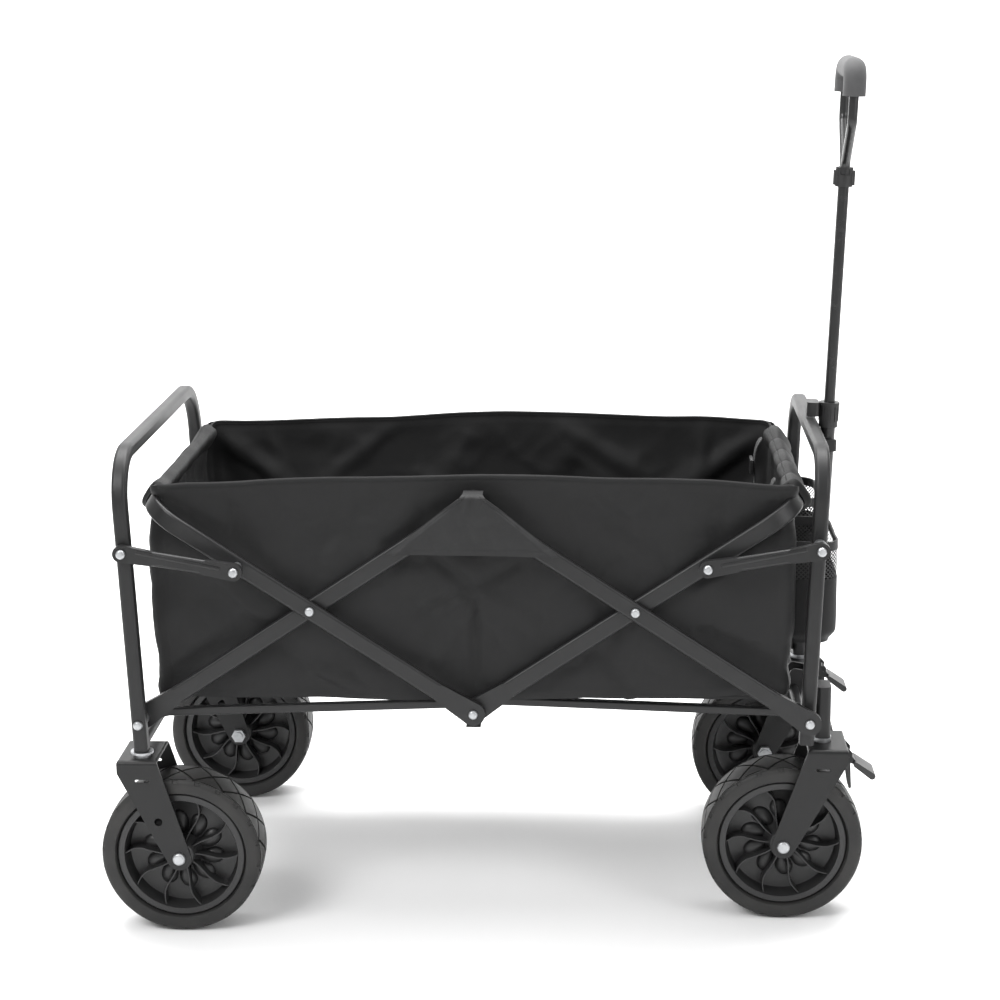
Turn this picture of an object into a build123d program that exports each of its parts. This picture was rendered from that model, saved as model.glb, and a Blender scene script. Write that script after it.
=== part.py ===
"""Folding camp wagon: two U-shaped end frames, a double scissor on each side, wheels and pull handle.

The frame stands on Z = 0. +X is the front, with the pull handle, and +Y is the left side. Sizes are in mm.
"""
from build123d import *
from math import atan2, cos, degrees, hypot, radians, sin
import os

os.makedirs("parts", exist_ok=True)

# Driving dimensions
wheel_radius = 100.0
tyre_width = 62.0
rim_radius = 80.0
axle_radius = 6.0
axle_head_radius = 8.0
running_fit = 0.05
bolt_radius = 4.0
head_radius = 5.8
centre_x = -16.3          # the linkage's middle; the pedals reach further than the rear tyres
pivot_height = 269.0      # lower pivots of both end frames
bar_long = 254.0          # lower pivot to scissor pivot
bar_short = 236.0         # scissor pivot to middle pivots
bar_tail = 103.0          # scissor pivot to link pivot
upright_span = 219.0      # lower pivot to upper pivot on an end frame
cross_reach = 234.0       # scissor pivot to the crosspiece of a U-bar
scissor_angle = 33.4      # bar slope with the wagon open
frame_lean = 2.2          # outward lean of the end frames
rear_crossbar_height = 599.0
front_crossbar_height = 593.0
frame_bottom = 234.5
plate_height = 226.5      # top of the fork plates
bar_width = 22.0
bar_thickness = 8.0
link_width = 18.0         # short links between the U-bars and the uprights
link_eye_radius = 10.5
bar_wall = 1.3
eye_radius = 14.5
tube_width = 18.0
tube_wall = 1.4
inner_layer = 222.0       # |Y| of bars B and D
outer_layer = 232.0       # |Y| of bars A and C
rear_upright_y = 247.0
front_upright_y = 206.5
rear_bend = 61.0
front_bend = 52.0
rear_link_y = 262.5
front_link_y = 242.0
rear_wheel_y = 228.0
front_wheel_y = 172.0
rear_axle_x = centre_x - 363.4
front_axle_x = centre_x + 382.0
swivel_x = centre_x + 430.0
fork_width = 80.0
sheet = 2.5
sides = (1, -1)

# Places worked out from the driving dimensions
slope = radians(scissor_angle)
lean = radians(frame_lean)
half_span = (bar_long + bar_short) * cos(slope)
rear_low = (centre_x - half_span, pivot_height)
front_low = (centre_x + half_span, pivot_height)
middle_low = (centre_x, pivot_height + (bar_long - bar_short) * sin(slope))
middle_high = (centre_x, pivot_height + (bar_long + bar_short) * sin(slope))
scissor_dx = bar_short * cos(slope)
scissor_z = pivot_height + bar_long * sin(slope)
rear_scissor = (centre_x - scissor_dx, scissor_z)
front_scissor = (centre_x + scissor_dx, scissor_z)


def along(point, angle, distance):
    """The point at a distance from another, at an angle from +X in the XZ plane."""
    return (point[0] + distance * cos(angle), point[1] + distance * sin(angle))


rear_tail = along(rear_scissor, radians(180) - slope, bar_tail)
front_tail = along(front_scissor, slope, bar_tail)
rear_high = along(rear_low, radians(90) + lean, upright_span)
front_high = along(front_low, radians(90) - lean, upright_span)
cross_distance = bar_short + cross_reach


def facing(x, y, z, side):
    """A plane across Y at a point, whose normal points outwards on that side."""
    return Plane(origin=(x, y * side, z), x_dir=(1, 0, 0), z_dir=(0, side, 0))


def bar_plane(point, angle, y):
    """A plane across a bar: local X is across it in the XZ plane, local Y is the wagon's Y."""
    return Plane(origin=(point[0], y, point[1]), x_dir=(-sin(angle), 0, cos(angle)),
                 z_dir=(cos(angle), 0, sin(angle)))


def export(builder, name):
    """Label a finished sub-part and write it."""
    builder.part.label = name
    export_step(builder.part, f"parts/{name}.step")


def drill(points, radius, reach=600.0):
    """Holes along Y through everything, inside the active part."""
    for x, z in points:
        with BuildSketch(Plane(origin=(x, reach / 2, z), x_dir=(1, 0, 0), z_dir=(0, -1, 0))) as profile:
            Circle(radius)
        extrude(profile.sketch, amount=reach, mode=Mode.SUBTRACT)


def eye(point, toward, y, radius=eye_radius, width=bar_width):
    """The flattened end of a bar: a round eye that narrows into the bar."""
    angle = atan2(toward[1] - point[1], toward[0] - point[0])
    neck = along(point, angle, 3.2 * radius)
    outer_face = Plane(origin=(0, y + bar_thickness / 2, 0), x_dir=(1, 0, 0), z_dir=(0, -1, 0))
    with BuildSketch(outer_face) as profile:
        with Locations((point[0], point[1])):
            Circle(radius)
        with Locations((neck[0], neck[1])):
            Circle(width / 2 - 0.05)
        make_hull()
    extrude(profile.sketch, amount=bar_thickness)


def flat_section(width):
    """A thin-walled flat tube's section."""
    RectangleRounded(width, bar_thickness, bar_thickness / 2 - 0.3)
    RectangleRounded(width - 2 * bar_wall, bar_thickness - 2 * bar_wall, bar_thickness / 2 - bar_wall - 0.3,
                     mode=Mode.SUBTRACT)


def straight_bar(start, end, y, width=bar_width, radius=eye_radius):
    """A flat tube between two pivots with an eye at each end."""
    angle = atan2(end[1] - start[1], end[0] - start[0])
    with BuildSketch(bar_plane(start, angle, y)) as profile:
        flat_section(width)
    extrude(profile.sketch, amount=hypot(end[0] - start[0], end[1] - start[1]))
    eye(start, end, y, radius, width)
    eye(end, start, y, radius, width)


def bent_bar(start, angle, y, distance, bend):
    """A flat tube bent into a U: a leg on each side and a crosspiece between them."""
    plane = Plane(origin=(start[0], 0, start[1]), x_dir=(0, 1, 0),
                  z_dir=Vector(0, 1, 0).cross(Vector(cos(angle), 0, sin(angle))))
    with BuildLine(plane) as path:
        FilletPolyline((y, 0), (y, distance), (-y, distance), (-y, 0), radius=bend)
    across = Plane(origin=path.line @ 0, x_dir=(-sin(angle), 0, cos(angle)), z_dir=path.line % 0)
    with BuildSketch(across) as profile:
        flat_section(bar_width)
    sweep(profile.sketch, path=path.line)
    for side in sides:
        eye(start, along(start, angle, 100.0), y * side)


def end_frame(low, tilt, half_width, bend, top, feet):
    """An end frame: a rounded tube bent into a U, open at the bottom, with its pivot holes."""
    rise = (top - low[1]) / cos(lean)
    drop = (low[1] - frame_bottom) / cos(lean)
    plane = Plane(origin=(low[0], 0, low[1]), x_dir=(0, 1, 0), z_dir=(cos(tilt), 0, -sin(tilt)))
    with BuildLine(plane) as path:
        FilletPolyline((half_width, -drop), (half_width, rise), (-half_width, rise), (-half_width, -drop),
                       radius=bend)
    with BuildSketch(Plane(origin=path.line @ 0, x_dir=(1, 0, 0), z_dir=path.line % 0)) as profile:
        RectangleRounded(tube_width, tube_width, 5.0)
        RectangleRounded(tube_width - 2 * tube_wall, tube_width - 2 * tube_wall, 3.6, mode=Mode.SUBTRACT)
    sweep(profile.sketch, path=path.line)
    drill(feet, bolt_radius + running_fit)


def bolt(x, z, head_y, tip_y, side, nut_y=None):
    """A domed bolt along Y: its head sits outside head_y and its shank ends at tip_y."""
    with BuildSketch(facing(x, head_y, z, side)) as profile:
        Circle(head_radius)
    extrude(profile.sketch, amount=4.2)
    crown = part_edges_at(side * (head_y + 4.2))
    fillet(crown, radius=3.0)
    with BuildSketch(facing(x, tip_y, z, side)) as profile:
        Circle(bolt_radius)
    extrude(profile.sketch, amount=head_y - tip_y)
    if nut_y is not None:
        with BuildSketch(facing(x, nut_y, z, side)) as profile:
            RegularPolygon(6.6, 6)
        extrude(profile.sketch, amount=5.0)


def part_edges_at(y):
    """The circular edges of the active part whose centre lies at one Y."""
    part = BuildPart._get_context().part
    return [e for e in part.edges().filter_by(GeomType.CIRCLE) if abs(e.arc_center.Y - y) < 0.01]


def spacer(x, z, y_from, y_to, side, wall=4.0):
    """A sleeve around a bolt between two faces."""
    with BuildSketch(facing(x, y_from, z, side)) as profile:
        Circle(bolt_radius + wall)
        Circle(bolt_radius + running_fit, mode=Mode.SUBTRACT)
    extrude(profile.sketch, amount=y_to - y_from)


# End frames
with BuildPart() as rear_frame:
    end_frame(rear_low, -lean, rear_upright_y, rear_bend, rear_crossbar_height,
              [rear_low, rear_high])
export(rear_frame, "rear_frame")

with BuildPart() as front_frame:
    end_frame(front_low, lean, front_upright_y, front_bend, front_crossbar_height,
              [front_low, front_high])
export(front_frame, "front_frame")

foot_shift = (pivot_height - plate_height) * sin(lean)
rear_foot_x = rear_low[0] + foot_shift
front_foot_x = front_low[0] - foot_shift
cross_tube_z = frame_bottom + 6.7


def cross_tube(x, half_width, name):
    """A round tube between the two feet of an end frame."""
    gap = tube_width / 2 + 0.2
    with BuildPart() as tube:
        with BuildSketch(Plane(origin=(x, half_width - gap, cross_tube_z), z_dir=(0, -1, 0))):
            Circle(6.5)
            Circle(5.3, mode=Mode.SUBTRACT)
        extrude(amount=2 * (half_width - gap))
    export(tube, name)


cross_tube(rear_foot_x, rear_upright_y, "rear_cross_tube")
cross_tube(front_foot_x, front_upright_y, "front_cross_tube")


# Wheel forks: a folded sheet channel, wide at the plate and round at the axle
def fork(plate_x, axle_x, y, bore_x, bore_y, slot_run):
    """One wheel fork: two slanting legs under a top plate with a bore for the stem."""
    outer = fork_width / 2
    with BuildSketch(Plane(origin=(0, y + outer, 0), x_dir=(1, 0, 0), z_dir=(0, -1, 0))) as profile:
        with Locations((axle_x, wheel_radius)):
            Circle(15.0)
        with Locations((plate_x, plate_height - 9.0)):
            RectangleRounded(50.0, 18.0, 3.0)
        make_hull()
    extrude(profile.sketch, amount=fork_width)
    behind = Plane(origin=(min(plate_x, axle_x) - 60.0, y, 0), x_dir=(0, 1, 0), z_dir=(1, 0, 0))
    with BuildSketch(behind) as profile:
        with Locations((0, plate_height / 2)):
            RectangleRounded(fork_width, plate_height, 5.0)
        with Locations((0, plate_height / 2 - sheet)):
            RectangleRounded(fork_width - 2 * sheet, plate_height, 3.0, mode=Mode.SUBTRACT)
    extrude(profile.sketch, amount=180.0, mode=Mode.INTERSECT)
    with BuildSketch(Plane.XY.offset(plate_height)) as profile:
        with Locations((bore_x, bore_y)):
            Circle(axle_radius + running_fit)
    extrude(profile.sketch, amount=-10.0, mode=Mode.SUBTRACT)
    drill([(axle_x, wheel_radius)], axle_radius + running_fit)
    with BuildSketch(Plane(origin=(0, 300, 0), x_dir=(1, 0, 0), z_dir=(0, -1, 0))) as profile:
        with Locations((plate_x + slot_run, 201.0)):
            SlotOverall(18.0, 4.0)
    extrude(profile.sketch, amount=600.0, mode=Mode.SUBTRACT)


brake_pivot = (centre_x + 461.0, 208.0)
brake_gap = 24.0          # between the two cheeks that hold the brake pedal


def brake_cheeks(y):
    """Two cheeks under a caster plate's front edge, with the pin that the brake pedal turns on."""
    under = plate_height - sheet
    edge = brake_pivot[0]
    for cheek in sides:
        with BuildSketch(Plane(origin=(0, y + cheek * (brake_gap / 2 + 1.5) + 1.5, 0), x_dir=(1, 0, 0),
                               z_dir=(0, -1, 0))) as profile:
            with BuildLine():
                Polyline((edge - 12.0, under), (edge - 2.0, under), (edge + 6.0, under - 9.0),
                         (edge + 5.0, under - 22.0), (edge - 5.0, under - 22.0), close=True)
            make_face()
        extrude(profile.sketch, amount=3.0)
    with BuildSketch(facing(brake_pivot[0], y - brake_gap / 2 - 5.0, brake_pivot[1], 1)) as profile:
        Circle(3.0)
    extrude(profile.sketch, amount=brake_gap + 10.0)


rear_plate_x = centre_x - 411.0
front_plate_x = centre_x + 435.0
sides_named = {1: "left", -1: "right"}
for side in sides:
    with BuildPart() as rear_fork:
        fork(rear_plate_x, rear_axle_x, side * rear_wheel_y, rear_foot_x, side * rear_upright_y, 6.0)
        drill([((rear_plate_x + rear_axle_x) / 2, 148.0)], 5.0)
    export(rear_fork, f"rear_fork_{sides_named[side]}")
    with BuildPart() as caster_fork:
        fork(front_plate_x, front_axle_x, side * front_wheel_y, swivel_x, side * front_wheel_y, -6.0)
        brake_cheeks(side * front_wheel_y)
    export(caster_fork, f"caster_fork_{sides_named[side]}")

# Flanged collars between the rear uprights and their fork plates
with BuildPart() as fork_collars:
    for side in sides:
        with BuildSketch(Plane.XY.offset(plate_height)):
            with Locations((rear_foot_x, side * rear_upright_y)):
                Circle(10.5)
        extrude(amount=5.0)
        with BuildSketch(Plane.XY.offset(plate_height + 5.0)):
            with Locations((rear_foot_x, side * rear_upright_y)):
                Circle(14.0)
        extrude(amount=2.4)
        with BuildSketch(Plane.XY.offset(plate_height - 7.0)):
            with Locations((rear_foot_x, side * rear_upright_y)):
                Circle(axle_radius)
        extrude(amount=7.0)
export(fork_collars, "fork_collars")


def axle(x, y, side):
    """An axle bolt through both legs of a fork, with a domed head outside and a nut inside."""
    outer = y + fork_width / 2 + 0.1
    inner = y - fork_width / 2 - 0.1
    with BuildSketch(facing(x, outer, wheel_radius, side)) as profile:
        Circle(axle_head_radius)
    extrude(profile.sketch, amount=4.5)
    fillet(part_edges_at(side * (outer + 4.5)), radius=3.2)
    with BuildSketch(facing(x, inner - 8.0, wheel_radius, side)) as profile:
        Circle(axle_radius)
    extrude(profile.sketch, amount=fork_width + 8.2)
    with BuildSketch(facing(x, inner - 6.0, wheel_radius, side)) as profile:
        RegularPolygon(10.0, 6)
    extrude(profile.sketch, amount=6.0)


with BuildPart() as rear_axles:
    for side in sides:
        axle(rear_axle_x, rear_wheel_y, side)
export(rear_axles, "rear_axles")

# Wheels
hub_radius = 17.0
rim_lip = 70.0
petal_reach = 50.0
petal_count = 10


def tyre(x, y, name):
    """A solid tyre with a crowned tread and rounded shoulders."""
    half = tyre_width / 2
    with BuildPart() as solid:
        with BuildSketch(Plane(origin=(x, y, wheel_radius), x_dir=(1, 0, 0), z_dir=(0, 0, 1))):
            with BuildLine():
                Line((rim_radius, -half + 4), (rim_radius, half - 4))
                Line((rim_radius, half - 4), (rim_radius + 3, half))
                Line((rim_radius + 3, half), (93, half))
                ThreePointArc((93, half), (97.6, half - 4), (98.6, half - 10))
                ThreePointArc((98.6, half - 10), (wheel_radius, 0), (98.6, 10 - half))
                ThreePointArc((98.6, 10 - half), (97.6, 4 - half), (93, -half))
                Line((93, -half), (rim_radius + 3, -half))
                Line((rim_radius + 3, -half), (rim_radius, -half + 4))
            make_face()
        revolve(axis=Axis((x, y, wheel_radius), (0, 1, 0)))
    export(solid, name)


def rim(x, y, name):
    """A moulded rim: barrel, web, hub, radial ribs and a disc of rounded petals on each face."""
    half = tyre_width / 2 - 4.3
    with BuildPart() as solid:
        with BuildSketch(Plane(origin=(x, y, wheel_radius), x_dir=(1, 0, 0), z_dir=(0, 0, 1))):
            with BuildLine():
                Polyline((axle_radius + running_fit, -half - 5), (hub_radius, -half - 5), (hub_radius, -4),
                         (rim_lip, -4), (rim_lip, -half), (rim_radius - 0.2, -half), (rim_radius - 0.2, half),
                         (rim_lip, half), (rim_lip, 4), (hub_radius, 4), (hub_radius, half + 5),
                         (axle_radius + running_fit, half + 5), close=True)
            make_face()
        revolve(axis=Axis((x, y, wheel_radius), (0, 1, 0)))
        with BuildSketch(Plane(origin=(x, y - half + 6, wheel_radius), x_dir=(1, 0, 0), z_dir=(0, 1, 0))):
            with PolarLocations(43.0, petal_count):
                Rectangle(56.0, 3.0)
        extrude(amount=2 * half - 12)
        for face in sides:
            with BuildSketch(Plane(origin=(x, y + face * (half - 12), wheel_radius), x_dir=(1, 0, 0),
                                   z_dir=(0, face, 0))):
                Circle(36.0)
                with PolarLocations(37.0, petal_count, start_angle=18.0):
                    Circle(petal_reach - 37.0)
            extrude(amount=4.0)
        with BuildSketch(Plane(origin=(x, y - 60, wheel_radius), x_dir=(1, 0, 0), z_dir=(0, 1, 0))):
            Circle(axle_radius + running_fit)
        extrude(amount=120.0, mode=Mode.SUBTRACT)
    export(solid, name)


for side in sides:
    label = sides_named[side]
    tyre(rear_axle_x, side * rear_wheel_y, f"tyre_rear_{label}")
    rim(rear_axle_x, side * rear_wheel_y, f"rim_rear_{label}")
    tyre(front_axle_x, side * front_wheel_y, f"tyre_front_{label}")
    rim(front_axle_x, side * front_wheel_y, f"rim_front_{label}")

# Caster stems in their housings, the wheel axles and the brake pins
housing_low = plate_height + 7.5
housing_high = 300.0
for side in sides:
    with BuildPart() as caster_pins:
        with BuildSketch(Plane.XY.offset(plate_height - 6.0)):
            with Locations((swivel_x, side * front_wheel_y)):
                Circle(axle_radius)
        extrude(amount=housing_high - 9.0 - plate_height)
        with BuildSketch(Plane.XY.offset(plate_height + 0.2)):
            with Locations((swivel_x, side * front_wheel_y)):
                Circle(11.5)
        extrude(amount=6.5)
        axle(front_axle_x, front_wheel_y, side)
    export(caster_pins, f"caster_pins_{sides_named[side]}")

# Brake pedals
pedal_tip = along(brake_pivot, radians(-36), 38.0)
pedal_neck = along(brake_pivot, radians(-36), 13.0)
shoe_tip = along(brake_pivot, radians(-84), 39.0)
for side in sides:
    pedal_y = side * front_wheel_y
    with BuildPart() as brake_lever:
        with BuildSketch(Plane(origin=(0, pedal_y + 11.0, 0), x_dir=(1, 0, 0), z_dir=(0, -1, 0))):
            with Locations(brake_pivot):
                Circle(5.6)
            with Locations(pedal_neck):
                Circle(2.0)
            make_hull()
        extrude(amount=22.0)
        with BuildSketch(Plane(origin=(0, pedal_y + 11.0, 0), x_dir=(1, 0, 0), z_dir=(0, -1, 0))):
            with Locations(brake_pivot):
                Circle(3.8)
            with Locations(shoe_tip):
                Circle(1.8)
            make_hull()
        extrude(amount=22.0)
        with BuildSketch(Plane(origin=(0, pedal_y + 18.0, 0), x_dir=(1, 0, 0), z_dir=(0, -1, 0))):
            with Locations(pedal_neck):
                Circle(3.2)
            with Locations(pedal_tip):
                Circle(4.2)
            make_hull()
        extrude(amount=36.0)
        drill([brake_pivot], 3.0 + running_fit)
    export(brake_lever, f"brake_lever_{sides_named[side]}")

# Caster housings: a rounded tube for each stem, with a saddle back to the cross tube
with BuildPart() as caster_housings:
    for side in sides:
        with BuildSketch(Plane.XY.offset(housing_low)):
            with Locations((swivel_x, side * front_wheel_y)):
                RectangleRounded(19.0, 32.0, 6.0)
        extrude(amount=housing_high - housing_low)
        with BuildSketch(Plane.XY.offset(cross_tube_z)):
            with Locations(((swivel_x + front_foot_x) / 2, side * front_wheel_y)):
                Rectangle(swivel_x - front_foot_x, 22.0)
        extrude(amount=19.0)
        with BuildSketch(Plane.XY.offset(housing_low - 1.0)):
            with Locations((swivel_x, side * front_wheel_y)):
                Circle(axle_radius + running_fit)
        extrude(amount=housing_high - housing_low - 4.0, mode=Mode.SUBTRACT)
    with BuildSketch(Plane(origin=(front_foot_x, 300, cross_tube_z), x_dir=(1, 0, 0), z_dir=(0, -1, 0))):
        Circle(6.55)
    extrude(amount=600.0, mode=Mode.SUBTRACT)
export(caster_housings, "caster_housings")

# Scissor bars: A and D are bent U-bars, B and C are straight pairs
with BuildPart() as bar_a:
    bent_bar(middle_low, radians(180) - slope, outer_layer, cross_distance, 45.0)
    drill([middle_low, rear_scissor], bolt_radius + running_fit)
export(bar_a, "bar_a")

with BuildPart() as bar_d:
    bent_bar(middle_low, slope, inner_layer, cross_distance, 45.0)
    drill([middle_low, front_scissor], bolt_radius + running_fit)
export(bar_d, "bar_d")

with BuildPart() as bars_b:
    for side in sides:
        straight_bar(rear_low, middle_high, side * inner_layer)
    drill([rear_low, rear_scissor, middle_high], bolt_radius + running_fit)
export(bars_b, "bars_b")

with BuildPart() as bars_c:
    for side in sides:
        straight_bar(front_low, middle_high, side * outer_layer)
    drill([front_low, front_scissor, middle_high], bolt_radius + running_fit)
export(bars_c, "bars_c")

with BuildPart() as links_rear:
    for side in sides:
        straight_bar(rear_high, rear_tail, side * rear_link_y, link_width, link_eye_radius)
    drill([rear_high, rear_tail], bolt_radius + running_fit)
export(links_rear, "links_rear")

with BuildPart() as links_front:
    for side in sides:
        straight_bar(front_high, front_tail, side * front_link_y, link_width, link_eye_radius)
    drill([front_high, front_tail], bolt_radius + running_fit)
export(links_front, "links_front")

# Pivot bolts and sleeves, layer by layer
rail_rear_y = 203.0
rail_front_y = 190.0
rail_width = 12.0
half_bar = bar_thickness / 2
half_tube = tube_width / 2
gap = 0.3
with BuildPart() as rear_pivot_bolts:
    for side in sides:
        head = rear_upright_y + half_tube + gap
        inside = rail_rear_y - rail_width / 2 - gap
        bolt(*rear_low, head, inside - 6.0, side, inside - 5.0)
        spacer(*rear_low, inner_layer + half_bar + gap, rear_upright_y - half_tube - gap, side)
        spacer(*rear_low, rail_rear_y + rail_width / 2 + gap, inner_layer - half_bar - gap, side)
        bolt(*rear_high, rear_link_y + half_bar + gap, rear_upright_y + 2.0, side)
export(rear_pivot_bolts, "rear_pivot_bolts")

with BuildPart() as front_pivot_bolts:
    for side in sides:
        inside = rail_front_y - rail_width / 2 - gap
        bolt(*front_low, outer_layer + half_bar + gap, inside - 6.0, side, inside - 5.0)
        spacer(*front_low, front_upright_y + half_tube + gap, outer_layer - half_bar - gap, side)
        bolt(*front_high, front_link_y + half_bar + gap, front_upright_y - half_tube - 6.0, side,
             front_upright_y - half_tube - 5.3)
        spacer(*front_high, front_upright_y + half_tube + gap, front_link_y - half_bar - gap, side)
export(front_pivot_bolts, "front_pivot_bolts")


def layer_bolt(point, side):
    """A rivet through both bar layers, with a thin washer between them and a flat inner head."""
    head = outer_layer + half_bar + gap
    bolt(*point, head, inner_layer - half_bar - 3.4, side)
    with BuildSketch(facing(point[0], inner_layer - half_bar - 3.4, point[1], side)) as profile:
        Circle(head_radius)
    extrude(profile.sketch, amount=3.0)
    spacer(*point, inner_layer + half_bar + gap, outer_layer - half_bar - gap, side)


with BuildPart() as scissor_bolts_b:
    for side in sides:
        layer_bolt(rear_scissor, side)
        layer_bolt(middle_high, side)
export(scissor_bolts_b, "scissor_bolts_b")

with BuildPart() as scissor_bolts_d:
    for side in sides:
        layer_bolt(front_scissor, side)
export(scissor_bolts_d, "scissor_bolts_d")

with BuildPart() as middle_bolts:
    for side in sides:
        layer_bolt(middle_low, side)
export(middle_bolts, "middle_bolts")

stud_wall = 1.6           # slim sleeves, hidden behind the link ends
with BuildPart() as link_studs_rear:
    for side in sides:
        bolt(*rear_tail, rear_link_y + half_bar + gap, outer_layer + half_bar + 2 * gap, side)
        spacer(*rear_tail, outer_layer + half_bar + 2 * gap, rear_link_y - half_bar - gap, side, stud_wall)
export(link_studs_rear, "link_studs_rear")

with BuildPart() as link_studs_front:
    for side in sides:
        bolt(*front_tail, front_link_y + half_bar + gap, inner_layer + half_bar + 2 * gap, side)
        spacer(*front_tail, inner_layer + half_bar + 2 * gap, front_link_y - half_bar - gap, side, stud_wall)
export(link_studs_front, "link_studs_front")

# Guard brackets under the middle pivots, carried by the U-bar A
with BuildPart() as centre_brackets:
    for side in sides:
        with BuildSketch(Plane(origin=(middle_low[0], side * 213.0 + 1.5, middle_low[1]), x_dir=(1, 0, 0),
                               z_dir=(0, -1, 0))):
            with BuildLine():
                Polyline((-14.0, 8.0), (14.0, 8.0), (14.0, -10.0), (9.0, -17.5), (-9.0, -17.5),
                         (-14.0, -10.0), close=True)
            make_face()
            Circle(bolt_radius + running_fit, mode=Mode.SUBTRACT)
        extrude(amount=3.0)
        with BuildSketch(Plane.XY.offset(middle_low[1] - 17.5)):
            with Locations((middle_low[0], side * 222.0)):
                Rectangle(18.0, 21.0)
        extrude(amount=2.0)
export(centre_brackets, "centre_brackets")

# Floor rails: two half frames that meet under the middle of the floor
rail_rise = 283.5
rail_height = 10.0
rail_cross = 66.0         # from the middle joint, so that the half frames pass each other


def floor_rails(pivot, y):
    """One half frame: two side rails with an eye at each end, and a cross tube near the middle."""
    angle = atan2(rail_rise - pivot[1], centre_x - pivot[0])
    length = hypot(rail_rise - pivot[1], centre_x - pivot[0])
    joint = along(pivot, angle, length)
    for side in sides:
        with BuildSketch(Plane(origin=(0, side * y + rail_width / 2, 0), x_dir=(1, 0, 0),
                               z_dir=(0, -1, 0))) as profile:
            with Locations(pivot):
                Circle(9.0)
            with Locations(along(pivot, angle, 26.0)):
                Circle(rail_height / 2)
            make_hull()
        extrude(profile.sketch, amount=rail_width)
        with BuildSketch(bar_plane(along(pivot, angle, 14.0), angle, side * y)) as profile:
            RectangleRounded(rail_height, rail_width, 2.0)
        extrude(profile.sketch, amount=length - 14.0)
        with BuildSketch(Plane(origin=(0, side * y + rail_width / 2, 0), x_dir=(1, 0, 0),
                               z_dir=(0, -1, 0))) as profile:
            with Locations(joint):
                Circle(rail_height / 2)
        extrude(profile.sketch, amount=rail_width)
    cross = along(joint, angle, -rail_cross)
    with BuildSketch(facing(cross[0], -y, cross[1], 1)) as profile:
        Circle(rail_height / 2 - 0.3)
    extrude(profile.sketch, amount=2 * y)
    drill([pivot], bolt_radius + running_fit)


with BuildPart() as rails_rear:
    floor_rails(rear_low, rail_rear_y)
export(rails_rear, "rails_rear")

with BuildPart() as rails_front:
    floor_rails(front_low, rail_front_y)
export(rails_front, "rails_front")

# Pull handle: a two-stage pole on a bracket in front of the cross tube
handle_pivot = (centre_x + 432.0, 256.0)
handle_lean = 2.25
handle_slope = radians(90 - handle_lean)
pole_radius = 9.5
inner_pole_radius = 7.0
lock_low = 342.0          # distances along the pole from its pivot
lock_high = 366.0
collar_low = 640.0
collar_high = 664.0
grip_centre = 786.0
grip_half = 52.0


def on_pole(distance):
    """A plane across the pole at a distance from its pivot, with local Y along the wagon's Y."""
    point = along(handle_pivot, handle_slope, distance)
    return Plane(origin=(point[0], 0, point[1]), x_dir=(sin(handle_slope), 0, -cos(handle_slope)),
                 z_dir=(cos(handle_slope), 0, sin(handle_slope)))


bracket_half = 15.0
with BuildPart() as handle_bracket:
    for side in sides:
        with BuildSketch(Plane(origin=(0, side * bracket_half + 1.5, 0), x_dir=(1, 0, 0), z_dir=(0, -1, 0))):
            with Locations((front_foot_x, cross_tube_z)):
                Circle(11.0)
            with Locations(handle_pivot):
                Circle(9.0)
            with Locations((front_foot_x + 2.0, cross_tube_z + 20.0)):
                Circle(8.0)
            make_hull()
        extrude(amount=3.0)
    drill([(front_foot_x, cross_tube_z)], 6.55)
    drill([handle_pivot], bolt_radius + 0.01)
    with BuildSketch(facing(handle_pivot[0], bracket_half + 1.8, handle_pivot[1], -1)):
        Circle(bolt_radius)
    extrude(amount=-2 * bracket_half - 3.6)
    for side in sides:
        with BuildSketch(facing(handle_pivot[0], bracket_half + 1.6, handle_pivot[1], side)):
            Circle(head_radius)
        extrude(amount=3.0)
export(handle_bracket, "handle_bracket")

with BuildPart() as handle_foot:
    with BuildSketch(Plane(origin=(0, 12.5, 0), x_dir=(1, 0, 0), z_dir=(0, -1, 0))):
        with Locations(handle_pivot):
            Circle(9.0)
        with Locations(along(handle_pivot, handle_slope, 20.0)):
            Circle(10.5)
        make_hull()
    extrude(amount=25.0)
    drill([handle_pivot], bolt_radius + running_fit)
    with BuildSketch(on_pole(18.0)):
        Circle(pole_radius + running_fit)
    extrude(amount=30.0, mode=Mode.SUBTRACT)
export(handle_foot, "handle_foot")

with BuildPart() as handle_outer_tube:
    with BuildSketch(on_pole(18.2)):
        Circle(pole_radius)
        Circle(pole_radius - 1.4, mode=Mode.SUBTRACT)
    extrude(amount=lock_low - 18.2)
export(handle_outer_tube, "handle_outer_tube")

with BuildPart() as handle_lock:
    with BuildSketch(on_pole(lock_low - 8.0)):
        Circle(pole_radius + 2.6)
        Circle(pole_radius + running_fit, mode=Mode.SUBTRACT)
    extrude(amount=8.0)
    with BuildSketch(on_pole(lock_low)):
        Circle(pole_radius + 2.6)
        with PolarLocations(pole_radius + 2.4, 14):
            Rectangle(1.8, 2.2)
        Circle(inner_pole_radius + running_fit, mode=Mode.SUBTRACT)
    extrude(amount=lock_high - lock_low - 5.0)
    with BuildSketch(on_pole(lock_high - 5.0)):
        Circle(13.2)
        Circle(inner_pole_radius + running_fit, mode=Mode.SUBTRACT)
    extrude(amount=5.0)
export(handle_lock, "handle_lock")

with BuildPart() as handle_lock_lever:
    with BuildSketch(on_pole(lock_low + 6.5)):
        with Locations((-21.5, 0)):
            RectangleRounded(15.5, 28.0, 4.0)
    extrude(amount=18.0)
export(handle_lock_lever, "handle_lock_lever")

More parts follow.
